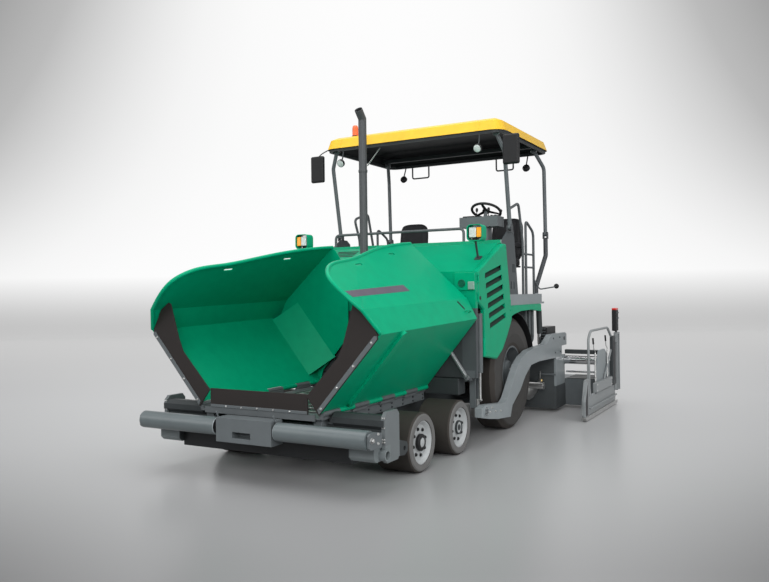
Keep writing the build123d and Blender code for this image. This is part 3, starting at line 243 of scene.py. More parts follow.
PLATFORM_PAINT = paint("platform_paint", LIGHT_C, 0.4, bump=0.03, zones=(
    ((1160, 1260, 3205, 3780, 1634, 2400), (0.06, 0.07, 0.075), 0.4),
    ((0, 1172, 3190, 3222, 1700, 2290), GREEN_C, 0.32),
    ((1150, 1260, 3380, 3560, 2380, 2480), POST_C, 0.42),
    ((1080, 1260, 4600, 4900, 1640, 2480), POST_C, 0.42),
))
SCREED_PAINT = paint("screed_paint", (0.06, 0.067, 0.07), 0.45, zones=(
    ((1030, 1181, 4920, 5340, 920, 1180), (0.014, 0.015, 0.016), 0.5),
    ((1249, 1280, 5000, 5440, 360, 760), LIGHT_C, 0.38),
))

by_slot = {look.slot: look.mat for look in (
    GREEN, ROOF, LIGHT_GREY, DARK_GREY, STEEL, CHROME, CAST, SHEET, TYRE, PLASTIC, LEATHER,
)}
node_mat = {part["node"]: by_slot[part["material_slot"]] for part in frame["record"]["subparts"]}
for mat, names in (
    (FRAME_PAINT, "chassis_frame"), (BASE_PAINT, "hopper_base"), (PLATFORM_PAINT, "platform"),
    (SCREED_PAINT, "screed_main"), (STACK, "exhaust_stack"), (LIGHT_GREY.mat, "tow_arms"),
    (MID_GREY.mat, "push_bar tow_guides console canopy_front_posts canopy_rear_posts"),
    (MID_GREY.mat, "rear_rim_left rear_rim_right"),
    (DOOR_PAINT, "side_door_left side_door_right"), (ROLLER, "push_roller_left push_roller_right"),
    (CYLINDER, "wing_cylinder_left wing_cylinder_right"),
    (RIM.mat, "front_rim_1_left front_rim_1_right front_rim_2_left front_rim_2_right"),
):
    node_mat.update({name: mat for name in names.split()})
for node, solid in nodes.items():
    for slot in solid.material_slots:
        slot.link = "OBJECT"
        slot.material = node_mat[node]


# ---- pieces in mesh code
# side is 1 for the machine's left, -1 for its right and 0 for a piece that isn't mirrored.
# X counts from the middle towards that side. Sizes are in millimetres.
ON_CANOPY = {"body": "canopy"}
FOR_CANOPY = {"body": "canopy", "node": "canopy"}
FOR_LAMPS = {"node": "headlamps"}
FOR_RAILS = {"node": "guard_rails"}
FOR_SEATS = {"node": "seats"}
FOR_WHEEL = {"body": "steering_wheel", "node": "steering_wheel"}
ON_BAR = {"body": "push_bar"}
SCREED = {"body": "screed"}
UP, FRONT, BACK = (0, 0, 1), (0, -1, 0), (0, 1, 0)


def tagged(name, side):
    return name + {1: "_left", -1: "_right", 0: ""}[side]


def new_object(name, data):
    obj = bpy.data.objects.new(name, data)
    bpy.context.collection.objects.link(obj)
    return obj


def piece(name, side, data, finish, body="chassis", node=None, smooth=False):
    """Put a mesh or curve on its body, with its material and the CAD node that it stands for."""
    obj = new_object(tagged(name, side), data)
    data.materials.append(finish.mat)
    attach(obj, body)
    if node:
        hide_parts(node)
    for poly in getattr(data, "polygons", ()):
        poly.use_smooth = smooth
    return obj


def closed_mesh(name, bm):
    """The mesh that a bmesh holds; the bmesh is freed."""
    mesh = bpy.data.meshes.new(name)
    bm.to_mesh(mesh)
    bm.free()
    return mesh


def from_bmesh(name, side, bm, finish, **more):
    return piece(name, side, closed_mesh(tagged(name, side), bm), finish, **more)


def add_bevel(obj, width, segments=2):
    """Round the edges by a width in millimetres; 0 leaves them sharp."""
    if width:
        soft = obj.modifiers.new("edges", "BEVEL")
        soft.width = width / 1000
        soft.segments = segments
        soft.limit_method = "ANGLE"
    return obj


def place_on(point, normal):
    """Matrix whose Z runs along a surface normal at a point."""
    z = Vector(normal).normalized()
    x = Vector(UP).cross(z)
    x = x.normalized() if x.length > 1e-4 else Vector((1, 0, 0))
    turn = Matrix((x, z.cross(x), z)).transposed().to_4x4()
    turn.translation = Vector(point)
    return turn


def facing(normal, *points):
    """A matrix for each point in millimetres, with Z along the normal."""
    return [place_on(at(*point), normal) for point in points]


def facing_out(side, x, *spots):
    """A matrix for each (y, z), on the face that looks out to the side at x."""
    return facing((side, 0, 0), *((side * x, y, z) for y, z in spots))


def ring_out(side, x, centre, radius, count, start=0.0):
    """Matrices evenly round a centre, on the face that looks out to the side at x."""
    angles = [2 * pi / count * i + start for i in range(count)]
    y, z = centre
    return facing_out(side, x, *((y + radius * cos(a), z + radius * sin(a)) for a in angles))


def corners(node):
    low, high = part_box(node)
    return Vector(low), Vector(high)


def centre_of(node):
    """Y and Z of a node's middle, as at() takes them."""
    low, high = corners(node)
    return (low.y + high.y) / 2 * 1000 + MID_Y * 1000, (low.z + high.z) / 2 * 1000


def spun(bm, profile, matrix, steps):
    """Turn (radius, height) points about the matrix's Z."""
    rings = []
    for radius, height in profile:
        angles = [2 * pi * i / steps for i in range(steps)] if radius > 0.001 else [0]
        rings.append([
            bm.verts.new(matrix @ Vector((radius * cos(a) / 1000, radius * sin(a) / 1000, height / 1000)))
            for a in angles
        ])
    for low, high in zip(rings, rings[1:]):
        for i in range(steps):
            j = (i + 1) % steps
            if len(low) == 1:
                bm.faces.new((low[0], high[i], high[j]))
            elif len(high) == 1:
                bm.faces.new((low[i], low[j], high[0]))
            else:
                bm.faces.new((low[i], low[j], high[j], high[i]))


def turned(name, side, profile, matrices, finish, steps=24, smooth=True, **more):
    """One piece turned from a profile at each matrix."""
    bm = bmesh.new()
    for matrix in matrices:
        spun(bm, profile, matrix, steps)
    obj = from_bmesh(name, side, bm, finish, smooth=smooth, **more)
    if smooth:
        obj.data.set_sharp_from_angle(angle=radians(35))
    return obj


def bolts(name, side, matrices, size, finish, **more):
    """Hexagon heads on washers."""
    washer = [(size * r, size * h) for r, h in ((1.05, 0), (1.05, 0.16), (0.85, 0.2))]
    head = [(size * r, size * h) for r, h in ((0.8, 0.18), (0.8, 0.72), (0.68, 0.82), (0, 0.82))]
    bm = bmesh.new()
    for matrix in matrices:
        spun(bm, washer, matrix, 16)
        spun(bm, head, matrix, 6)
    return from_bmesh(name, side, bm, finish, **more)


def skin(bm, rings, closed=False):
    """Quads through rings of row-frame points, with capped ends or closed from the last ring to the first."""
    loops = [[bm.verts.new(point) for point in ring] for ring in rings]
    pairs = list(zip(loops, loops[1:]))
    if closed:
        pairs.append((loops[-1], loops[0]))
    for low, high in pairs:
        for i in range(len(low)):
            j = (i + 1) % len(low)
            bm.faces.new((low[i], low[j], high[j], high[i]))
    if not closed:
        bm.faces.new(loops[0])
        bm.faces.new(loops[-1])
    bmesh.ops.recalc_face_normals(bm, faces=bm.faces)


def lofted(name, side, rings, finish, smooth=True, closed=False, bevel=0, segments=2, **more):
    bm = bmesh.new()
    skin(bm, rings, closed)
    obj = from_bmesh(name, side, bm, finish, smooth=smooth, **more)
    if smooth:
        obj.data.set_sharp_from_angle(angle=radians(28))
    return add_bevel(obj, bevel, segments)


def slab(name, side, outline, lift, finish, bevel=1.5, segments=2, **more):
    """A plate from an outline of row-frame points, thickened by a vector."""
    rings = [outline, [point + lift for point in outline]]
    return lofted(name, side, rings, finish, False, bevel=bevel, segments=segments, **more)


def block(name, side, x, y, z, finish, bevel=4, segments=3, **more):
    """A rounded block between two limits on each axis."""
    x0, x1 = sorted(limit * (side or 1) for limit in x)
    outline = [at(x0, y[0], z[0]), at(x1, y[0], z[0]), at(x1, y[1], z[0]), at(x0, y[1], z[0])]
    return slab(name, side, outline, Vector((0, 0, (z[1] - z[0]) / 1000)), finish, bevel, segments, **more)


def plate(name, side, x, outline, finish, bevel=3, **more):
    """A plate seen from the side, from one X to another, with an outline of (y, z)."""
    lift = Vector((side * (x[1] - x[0]) / 1000, 0, 0))
    return slab(name, side, [at(side * x[0], y, z) for y, z in outline], lift, finish, bevel, **more)


def tube(name, side, points, radius, finish, bend=30, **more):
    """A round bar with softly bent corners, along points in millimetres or placed already."""
    path = [p if isinstance(p, Vector) else at(p[0] * (side or 1), p[1], p[2]) for p in points]
    curve = bpy.data.curves.new(tagged(name, side), "CURVE")
    curve.dimensions = "3D"
    curve.bevel_depth = radius / 1000
    curve.bevel_resolution = 4
    curve.use_fill_caps = True
    run = [path[0]]
    shares = (0, 0.2, 0.4, 0.6, 0.8, 1)
    for before, here, after in zip(path, path[1:], path[2:]):
        a = (before - here).normalized() * min(bend / 1000, (before - here).length / 2.1)
        b = (after - here).normalized() * min(bend / 1000, (after - here).length / 2.1)
        run += [here + a * (1 - t) ** 2 + b * t ** 2 for t in shares]
    run.append(path[-1])
    line = curve.splines.new("POLY")
    line.points.add(len(run) - 1)
    for point, place in zip(line.points, run):
        point.co = (*place, 1)
    return piece(name, side, curve, finish, **more)


def rounded(half_x, half_y, corner, steps=7):
    """Points of a rectangle with round corners, about the origin."""
    points = []
    for turn, (sx, sy) in enumerate(((1, 1), (-1, 1), (-1, -1), (1, -1))):
        for step in range(steps + 1):
            angle = pi / 2 * (turn + step / steps)
            points.append((sx * (half_x - corner) + corner * cos(angle),
                           sy * (half_y - corner) + corner * sin(angle)))
    return points


# ---- hopper
# the wing's ridge, the facet that leans in above it and the slope above that
FACET_X, FACET_IN, FACET_RISE = 1287, 109, 212
FACET_OUT = (0.889, 0, 0.457)
SLOPE = radians(47.5)


def ridge_z(y):
    return 1340 + (y - 140) / 2050 * 54


def facet_point(side, share, y):
    return at(side * (FACET_X - FACET_IN * share), y, ridge_z(y) + FACET_RISE * share)


def slope_point(side, y, z):
    return at(side * (FACET_X - FACET_IN - (z - ridge_z(y) - FACET_RISE) * tan(SLOPE)), y, z)


def wing_trim(word, side):
    """Steel strip bolted over the rubber, dark stripe, a black patch as the latch slot's painted shade, and
    latch staple.
    """
    wing = {"body": "wing_" + word}
    flap_y = corners("wing_flap_left")[0].y
    low = Vector((side * 0.672, flap_y, 0.640))
    high = Vector((side * 1.262, flap_y, 1.305))
    along = (high - low).normalized()
    inward = Vector((-side * along.z, 0, abs(along.x)))
    forward = Vector((0, -0.006, 0))
    outline = [end + along * run + inward * reach for end, run, reach in (
        (low, 0.012, 0.003), (high, -0.006, 0.003), (high, 0.012, 0.022), (high, -0.004, 0.042),
        (low, 0.03, 0.042),
    )]
    slab("flap_strip", side, outline, forward, MID_GREY, **wing)
    spots = [low + (high - low) * share + inward * 0.022 + forward for share in (0.07, 0.35, 0.63, 0.93)]
    bolts("flap_bolts", side, [place_on(spot, FRONT) for spot in spots], 11, STEEL, **wing)
    stripe = [slope_point(side, y, z) for y, z in ((30, 1700), (66, 1650), (1110, 1693), (1094, 1751))]
    out = Vector((side * sin(SLOPE), 0, cos(SLOPE)))
    slab("wing_stripe", side, stripe, out * 0.0012, STRIPE, 0, **wing)
    out = Vector((side * FACET_OUT[0], 0, FACET_OUT[2]))
    slot = ((0.93, 1912), (0.56, 1992), (0.48, 1976), (0.88, 1884))
    # black slab for the latch slot: painted shade inside the hole
    slab("latch_slot_shade", side, [facet_point(side, *spot) for spot in slot], out * 0.001, BLACK_TRIM, 0, **wing)
    feet = [facet_point(side, *spot) for spot in ((0.40, 1960), (0.34, 2040))]
    tops = [foot + out * 0.035 for foot in feet]
    tube("latch_staple", side, [feet[0], tops[0], tops[1], feet[1]], 6, GREEN, 12, **wing)


for word, side in SIDES:
    wing_trim(word, side)
    block("hinge_rail", side, (566, 655), (200, 2180), (508, 595), MID_GREY, 6)
    spots = facing_out(side, 655, *((y, z) for y in range(300, 2150, 230) for z in (532, 572)))
    bolts("hinge_rail_bolts", side, spots, 11, under("cast_parts", DARK_GREY))
sill_y = corners("front_flap")[0].y
slab("front_flap_strip", 0, [Vector((x, sill_y, z)) for x, z in (
    (-0.545, 0.642), (0.545, 0.642), (0.545, 0.668), (-0.545, 0.668),
)], Vector((0, -0.005, 0)), MID_GREY)
spots = [place_on((x * 0.18, sill_y - 0.005, 0.655), FRONT) for x in range(-2, 3)]
bolts("front_flap_bolts", 0, spots, 9, STEEL)

# ---- wheels: studs, hub collars, cups and caps
HUB_RING = ((76, -26), (80, -20), (80, 4), (72, 10), (46, 12), (44, 2))
HUB_CAP = ((44, 0), (44, 9), (38, 14), (20, 17), (0, 17))
HUB_CUP = ((70, -20), (72, 0), (70, 6), (60, 6), (52, -3), (34, -3), (28, 5), (0, 8))
RIM_BEAD = ((196, 14), (201, 20), (203, 28), (200, 34), (195, 30), (190, 20))
RIM_FACE_X, HUB_X, REAR_HUB_X, REAR_DISC_X = 1128, 1155, 1132, 1010


def front_wheel(tag, side, has_cap):
    wheel = {"body": tagged("front_wheel_" + tag, side)}
    centre = centre_of(tagged("front_rim_" + tag, side))
    hub = facing_out(side, HUB_X, centre)
    bolts("front_studs_" + tag, side, ring_out(side, RIM_FACE_X, centre, 126, 8, 0.2), 18, BLACK, **wheel)
    if has_cap:
        turned("hub_collar_" + tag, side, HUB_RING, hub, BLACK, 40, **wheel)
        turned("hub_cap_" + tag, side, HUB_CAP, hub, under("bare_steel", RIM), 40, **wheel)
    else:
        turned("hub_cup_" + tag, side, HUB_CUP, hub, DARK_GREY, 40, **wheel)
    turned("rim_bead_" + tag, side, RIM_BEAD, facing_out(side, RIM_FACE_X, centre), RIM, 64, **wheel)


for word, side in SIDES:
    front_wheel("1", side, True)
    front_wheel("2", side, False)
    wheel = {"body": "rear_wheel_" + word}
    centre = centre_of("rear_rim_" + word)
    bolts("rear_hub_bolts", side, ring_out(side, REAR_HUB_X, centre, 70, 8), 13, STEEL, **wheel)
    bolts("rear_studs", side, ring_out(side, REAR_DISC_X, centre, 215, 12, 0.1), 19, STEEL, **wheel)
    hub = facing_out(side, REAR_HUB_X, centre)
    turned("rear_hub_cap", side, ((52, 0), (52, 8), (44, 16), (0, 19)), hub, MID_CAST, 40, **wheel)

# ---- front bumper: roller ends, collars, bolts, levers
for word, side in SIDES:
    roller = {"body": "push_roller_" + word}
    low, high = corners("push_roller_" + word)
    y, z = centre_of("push_roller_" + word)
    rim = (high.z - low.z) / 2 * 1000
    inner_end = facing_out(side, 338, (y, z))
    collar = ((rim - 4, -7), (rim - 0.5, -4), (rim - 0.5, 2), (rim - 8, 2))
    turned("roller_collar", side, collar, inner_end, LIGHT_GREY, 48, **roller)
    end_ring = ((rim - 14, 0), (rim - 14, -8), (rim - 26, -10), (34, -10), (34, 0))
    turned("roller_end_ring", side, end_ring, inner_end, BLACK, 48, **roller)
    face_x = corners("push_bar")[1].x * 1000
    pin, *cheek = facing_out(side, face_x, (y, z), (y + 98, z - 38), (y + 98, z + 38))
    bolts("roller_pin_head", side, [pin], 24, STEEL, **ON_BAR)
    bolts("cheek_bolts", side, cheek, 12, STEEL, **ON_BAR)
    spots = facing(FRONT, *((side * x, 250, z) for x in (1223, 1242) for z in (440, 462, 560, 640)))
    bolts("end_plate_bolts", side, spots, 8, STEEL)
    tube("roller_lever", side, ((330, 20, 560), (318, -20, 590), (318, -40, 640)), 8, MID_CAST, 20, **ON_BAR)

# ---- tow arms: pivot caps, bosses, bolts, brackets
ARM_X, PIVOT = 1275, (2420, 385)
for word, side in SIDES:
    cap = ((46, 0), (46, 5), (38, 9), (18, 9), (18, 14), (0, 14))
    turned("arm_pivot_cap", side, cap, facing_out(side, ARM_X + 7, PIVOT), MID_GREY, 36, **SCREED)
    boss = facing_out(side, ARM_X, PIVOT)
    turned("arm_boss", side, ((58, -4), (58, 5), (55, 7), (30, 7)), boss, LIGHT_GREY, 48, **SCREED)
    bolts("arm_pivot_bolts", side, ring_out(side, ARM_X + 13, PIVOT, 36, 6), 7, STEEL, **SCREED)
    spots = facing_out(side, ARM_X, (2540, 360), (2600, 400), (2700, 350), (2860, 330))
    bolts("arm_front_bolts", side, spots, 12, STEEL, **SCREED)
    spots = facing_out(side, ARM_X, (4900, 1020), (5200, 1020), (4980, 820), (5220, 820))
    bolts("arm_rear_bolts", side, spots, 14, MID_CAST, **SCREED)
    bracket = ((5290, 885), (5290, 1074), (5600, 1066), (5665, 1040), (5665, 885))
    plate("arm_bracket", side, (1215, 1240), bracket, LIGHT_GREY, 4, **SCREED)
    bush = ((12, 0), (24, 0), (27, 2), (27, 3), (12, 3))
    for number, (x, way) in enumerate(((1240, 1), (1215, -1)), 1):
        spot = facing((side * way, 0, 0), (side * x, 5540, 985))
        turned("bracket_bush_%d" % number, side, bush, spot, BLACK, 32, **SCREED)

# ---- engine bay: headlamps, corner, doors, deck's end
LAMP_X, LAMP_Z = 1150, 2319
ARCH_Y, ARCH_Z, ARCH_R = 3620, 676, 734
BONNET_Y, BONNET_Z, BONNET_RUN, BONNET_RISE = 2310, 1897.5, 760, 338


def headlamp(side):
    """Green guard round a case with a clear and an orange lens, on a bent stalk."""
    outer, inner = rounded(92, 91, 45), rounded(84, 83, 38)
    lofted("lamp_guard", side, [
        [at(side * (x + LAMP_X), y, z + LAMP_Z) for x, z in ring]
        for y, ring in ((2460, outer), (2585, outer), (2585, inner), (2460, inner))
    ], GREEN, closed=True, bevel=1.5, **FOR_LAMPS)
    block("lamp_case", side, (1078, 1222), (2480, 2560), (2262, 2384), PLASTIC, 14, 4, **FOR_LAMPS)
    block("lamp_base", side, (1105, 1165), (2500, 2560), (2232, 2266), PLASTIC, **FOR_LAMPS)
    stalk = ((1120, 2640, 2036), (1120, 2600, 2140), (1132, 2535, 2236))
    tube("lamp_stalk", side, stalk, 12, DARK_GREY, 50, **FOR_LAMPS)
    pad = ((2600, 2026.5), (2680, 2062), (2680, 2074), (2600, 2038.5))
    plate("lamp_pad", side, (1085, 1155), pad, DARK_GREY, **FOR_LAMPS)
    block("headlamp_lens", side, (1084, 1164), (2470, 2484), (2268, 2378), CLEAR_LENS, 6)
    block("indicator_lens", side, (1169, 1227), (2470, 2515), (2268, 2378), ORANGE_LENS, 8)


def corner_panel(side):
    """Green panel between bonnet and wing, with a round horn and a side lamp; a locker below it."""
    block("corner_panel", side, (1010, 1249), (2222, 2236), (1690, 1882), GREEN, 6)
    horn = ((42, 0), (42, 5), (37, 7), (34, 3), (27, 3), (25, 6), (20, 6), (18, 3), (11, 3), (9, 6), (0, 6))
    turned("horn_ring", side, horn, facing(FRONT, (side * 1097, 2222, 1766)), DARK_GREEN, 40)
    block("side_lamp", side, (1172, 1246), (2206, 2223), (1698, 1784), SIDE_LENS, 8)
    block("locker", side, (566, 1060), (2192, 2368), (575, 752), DARK_GREY, 10)


def door_trim(word, side):
    """Cap over the door, a black sheet as painted shade behind its slots, slanted vanes in green darkened as
    painted shade, latch and bolts.
    """
    door = {"body": "side_door_" + word}
    edge = ((2312, 1892), (3066, 2226), (3190, 2226), (3190, 2196), (3070, 2196), (2312, 1862))
    plate("bonnet_edge", side, (1187, 1202.5), edge, GREEN, 2)
    back = ((2490, 1180), (2490, 1880), (2700, 1960), (3060, 2060), (3090, 1960), (3090, 1300), (3000, 1180))
    # black sheet behind the door slots: painted shade of the engine bay
    plate("louvre_shade_sheet", side, (1150, 1154), back, BLACK, 0)
    bm = bmesh.new()
    for index in range(6):
        y, z = 2505 + 26 * index, 1815 - 110 * index
        section = ((1243, z), (1243, z + 6), (1212, z + 44), (1212, z + 38))
        skin(bm, [[at(side * x, y + run, height + rise) for x, height in section]
                  for run, rise in ((1, 0), (499, 105))])
    # the vanes take the near-black green of painted shade
    from_bmesh("door_vanes", side, bm, SHADED_VANE, **door)
    block("door_latch", side, (1246, 1254), (2336, 2384), (1588, 1626), BLACK_TRIM, 3, **door)
    spots = facing_out(side, 1250, (3290, 1560), (3300, 1450), (2520, 1010), (3160, 2180))
    bolts("door_bolts", side, spots, 8, GREEN, **door)


def deck_end(side):
    """Liner and flange of the wheel arch, tank and lines behind the wheel, lamps on the deck's edge."""
    arc = [(ARCH_Y + r * cos(radians(a)), ARCH_Z + r * sin(radians(a)))
           for r, angles in ((ARCH_R, range(18, 163, 6)), (ARCH_R + 7, range(162, 17, -6))) for a in angles]
    plate("arch_liner", side, (572, 1182), arc, BLACK, 0)
    flange = [(3360, 1348), (3560, 1395), (3800, 1425), (4200, 1432), (4610, 1400)]
    plate("arch_flange", side, (1140, 1206), flange + [(y, z + 12) for y, z in reversed(flange)], GREEN)
    block("rear_tank", side, (640, 1080), (4380, 4610), (900, 1496), MID_GREY, 20)
    for number, (x, y, radius, mat) in enumerate((
        (1108, 4400, 17, MID_GREY), (1108, 4470, 13, DARK_GREY), (1100, 4560, 17, MID_GREY),
    ), 1):
        path = [(x, y, 1496), (x, y, 1000), (x - 120, y + 40, 900), (x - 240, y + 60, 860)]
        tube("tank_line_%d" % number, side, path, radius, under("cast_parts", mat), 80)
    spots = facing(BACK, (side * 980, 4700, 1565), (side * 1070, 4700, 1565))
    cover = ((36, 4), (34, 12), (20, 17), (0, 18))
    turned("tail_lamp_rims", side, ((42, 0), (42, 10), (37, 12)), spots, BLACK_TRIM, 32)
    turned("tail_lamps", side, cover, spots[:1], RED_LENS, 32)
    turned("turn_lamps", side, cover, spots[1:], ORANGE_LENS, 32)


for word, side in SIDES:
    headlamp(side)
    corner_panel(side)
    door_trim(word, side)
    deck_end(side)
# black slabs on the bonnet stand for the louvre slots: painted shade inside them
for number in range(4):
    y = 2830 + 46 * number
    face = [at(x, v, BONNET_Z + (v - BONNET_Y) * BONNET_RISE / BONNET_RUN)
            for x, v in ((-940, y), (-640, y), (-640, y + 23), (-940, y + 23))]
    slab("air_slot_%d" % number, 0, face, Vector((0, -0.0008, 0.002)), BLACK, 0.8)
mouth = ((0, -30), (43, -30), (43, 0), (46, 2))
turned("stack_mouth", 0, mouth, facing((0, -90, 100), (-440, 2702, 3897)), BLACK, 36)

# ---- console: sloped panel with dials and joysticks
block("console_panel", 0, (640, 790), (3330, 3500), (2574, 2592), BLACK_TRIM, 6)
block("console_screen", 0, (660, 770), (3390, 3480), (2590, 2597), SCREEN, 3)
dials = facing(UP, *((x, y, 2575) for y in (3340, 3400, 3460) for x in (1010, 1060)))
turned("console_knobs", 0, ((15, 0), (15, 10), (12, 16), (0, 17)), dials, PLASTIC)
stick = ((20, 0), (16, 8), (5, 12), (5, 60), (14, 70), (17, 90), (12, 108), (0, 112))
turned("console_joysticks", 0, stick, facing((0, 0.1, 1), (820, 3340, 2575), (970, 3345, 2575)), PLASTIC)

# ---- steering wheel: thick grip, padded hub, three spokes
WHEEL_AXIS = Vector((0, 0.447, 0.894))
turn = place_on(at(900, 3452, 2652), WHEEL_AXIS)
grip = [(175 + 16 * cos(pi * i / 8), 16 * sin(pi * i / 8)) for i in range(17)]
turned("wheel_grip", 0, grip, [turn], PLASTIC, 56, **FOR_WHEEL)
hub = ((0, -13), (44, -13), (48, -8), (48, 4), (40, 12), (22, 16), (0, 16))
turned("wheel_hub", 0, hub, [turn], PLASTIC, 40, **FOR_WHEEL)
knob = ((0, 0), (9, 0), (9, 14), (16, 22), (18, 34), (13, 44), (0, 47))
turned("wheel_knob", 0, knob, [turn @ Matrix.Translation((-0.155, -0.08, 0.012))], PLASTIC, **FOR_WHEEL)
for number, angle in enumerate((90, 210, 330), 1):
    spin = Matrix.Rotation(radians(angle), 4, "Z")
    flat = [turn @ spin @ Vector(spot) for spot in (
        (0.04, 0.022, -0.004), (0.165, 0.014, -0.004), (0.165, -0.014, -0.004), (0.04, -0.022, -0.004),
    )]
    slab("wheel_spoke_%d" % number, 0, flat, WHEEL_AXIS.normalized() * 0.009, PLASTIC, 2, **FOR_WHEEL)


# ---- seats: bolsters, sewn channels and piping
def cushion(name, centre, half, tilt, crown, bolster, channels):
    """Closed crowned form in metres; local Z is the side that is sat on or leaned against."""
    bm = bmesh.new()
    bmesh.ops.create_cube(bm, size=2.0)
    bmesh.ops.subdivide_edges(bm, edges=bm.edges, cuts=26, use_grid_fill=True)
    power = 5.0
    turn = Matrix.Rotation(tilt, 4, "X")
    for vert in bm.verts:
        x, y, z = vert.co
        length = (abs(x) ** power + abs(y) ** power + abs(z) ** power) ** (1 / power)
        x, y, z = x / length, y / length, z / length
        pinch = 1 - 0.035 * (1 - z * z) * (x * x * y * y)
        up = z * half[2]
        if z > 0:
            up += crown * (1 - x ** 4) * (1 - y ** 4) * z
            up += bolster * exp(-((abs(x) - 0.78) / 0.13) ** 2) * z
            for line in channels:
                up -= 0.007 * exp(-((y - line) / 0.022) ** 2) * z * (1 if abs(x) < 0.62 else 0.3)
            up -= 0.006 * exp(-((abs(x) - 0.6) / 0.02) ** 2) * z
        seam = 0.004 * exp(-((z - 0.35) / 0.05) ** 2)
        vert.co = centre + turn @ Vector((x * (half[0] * pinch - seam), y * (half[1] * pinch - seam), up))
    from_bmesh(name, 0, bm, LEATHER, smooth=True, **FOR_SEATS)


def seat(word, x):
    """Cushion, back and arm rests over a pan, a rubber bellows and a foot."""
    cushion("seat_cushion_" + word, at(x, 4100, 2043), (0.222, 0.216, 0.052), 0.0, 0.016, 0.016,
            (-0.45, 0.0, 0.45))
    cushion("seat_back_" + word, at(x, 4366, 2345), (0.212, 0.292, 0.042), radians(82.2), 0.01, 0.014,
            (-0.4, 0.05, 0.5))
    for number, offset in enumerate((-225, 225), 1):
        tag = "_%d_%s" % (number, word)
        cushion("arm_rest" + tag, at(x + offset, 4150, 2266), (0.021, 0.19, 0.022), 0.0, 0.003, 0.0, ())
        path = [(x + offset, 4325, 2255), (x + offset, 4372, 2255), (x + offset * 0.8, 4378, 2250)]
        tube("arm_bracket" + tag, 0, path, 11, PLASTIC, **FOR_SEATS)
    block("seat_pan_" + word, 0, (x - 205, x + 205), (3900, 4305), (1978, 2002), PLASTIC, 10, **FOR_SEATS)
    folds = [(128, 0)] + [(118 if step % 2 else 130, 30 + step * 22) for step in range(12)] + [(130, 330)]
    outline = ((-1, -0.8), (-0.8, -1), (0.8, -1), (1, -0.8), (1, 0.8), (0.8, 1), (-0.8, 1), (-1, 0.8))
    rings = [[at(x + sx * half, 4115 + sy * (half - 15), 1632 + rise) for sx, sy in outline]
             for half, rise in folds]
    lofted("seat_bellows_" + word, 0, rings, SHEET, smooth=False, bevel=3, **FOR_SEATS)
    block("seat_foot_" + word, 0, (x - 130, x + 130), (4000, 4230), (1632, 1664), PLASTIC, 6, **FOR_SEATS)


seat("left", 830)
seat("right", -560)

# ---- guard rails
DECK_Z, COWL_Y, COWL_Z = 1630.5, 3217, 2280.5
cowl = [(-1130, COWL_Y, COWL_Z), (-1130, COWL_Y, 2435), (700, COWL_Y, 2435), (700, COWL_Y, COWL_Z)]
tube("front_rail", 0, cowl, 17, RAIL, 60, **FOR_RAILS)
for word, side in SIDES:
    for name, bend, hoop in (
        ("seat_hoop", 70,
         ((3790, DECK_Z), (3790, 2400), (3660, 2680), (4020, 2790), (4170, 2300), (4170, DECK_Z))),
        ("rear_rail", 80, ((4290, DECK_Z), (4290, 2590), (4600, 2450), (4600, DECK_Z))),
    ):
        tube(name, side, [(1110, y, z) for y, z in hoop], 17, RAIL, bend, **FOR_RAILS)
    for number, z in enumerate((1980, 2150), 1):
        tube("mid_rail_%d" % number, side, [(1110, 4170, z), (1110, 4600, z)], 13, RAIL, **FOR_RAILS)
stalk = ((1110, 4600, 1830), (1200, 4560, 1690), (1340, 4800, 1722))
tube("rail_lamp_stalk", 0, stalk, 9, RAIL, 40, **FOR_RAILS)
ball = [(34 * sin(pi * i / 12), -34 * cos(pi * i / 12)) for i in range(13)]
turned("rail_lamp", 0, ball, facing(BACK, (1350, 4825, 1730)), PLASTIC, 28, **FOR_RAILS)

# ---- canopy
ROOF_X, ROOF_Y0, ROOF_Y1, ROOF_Z = 1244, 3113, 4957, 3565
ROOF_H, ROOF_CORNER, ROOF_T = 125, 150, 10
CROWN, CROWN_LEAN = 40, radians(70)
DRAW = ROOF_H * tan(radians(20))
PIN_Z, PIN_Y = 3545, (3250, 4650)
LAMP_SHELL = ((0, -8), (26, -7), (42, 0), (50, 12), (50, 43), (47, 46), (44, 43))
LAMP_LENS = ((44, 0), (43, 4), (30, 9), (12, 12), (0, 12))
PIN = ((0, -8), (16, -8), (18, -6), (18, 0), (12, 0), (12, 64), (18, 64), (18, 70), (16, 72), (0, 72))


def roof_ring(inset, z):
    """The roof's outline moved in by an inset, at a height."""
    outline = rounded(ROOF_X - inset, (ROOF_Y1 - ROOF_Y0) / 2 - inset, max(ROOF_CORNER - inset, 20))
    return [at(x, y + (ROOF_Y0 + ROOF_Y1) / 2, z) for x, y in outline]


def roof_shell():
    """Drawn sides and a crowned top in one skin, a ring under the edge and two strips on the front."""
    top, crown_in = ROOF_Z + ROOF_H, DRAW + CROWN * tan(CROWN_LEAN)
    skin = ((crown_in + ROOF_T, top + CROWN - ROOF_T), (DRAW + ROOF_T, top - ROOF_T), (ROOF_T, ROOF_Z),
            (0, ROOF_Z), (DRAW * 0.96, top - 6), (DRAW + 8, top), (crown_in - 20, top + CROWN - 5),
            (crown_in, top + CROWN))
    lofted("roof_shell", 0, [roof_ring(inset, z) for inset, z in skin], ROOF, **FOR_CANOPY)
    low, high = ROOF_Z - 32, ROOF_Z + 8
    rings = [roof_ring(inset, z) for inset, z in ((22, low), (22, high), (58, high), (58, low))]
    lofted("roof_ring", 0, rings, DARK_GREY, closed=True, bevel=2, **FOR_CANOPY)
    for number, x in enumerate((-1000, 930), 1):
        front = [at(x + dx, ROOF_Y0 + DRAW * share - 0.6, ROOF_Z + ROOF_H * share)
                 for dx, share in ((-19, 0.03), (19, 0.03), (19, 0.93), (-19, 0.93))]
        slab("roof_cover_strip_%d" % number, 0, front, Vector((0, -0.0022, 0.0008)), ROOF, 1, **FOR_CANOPY)


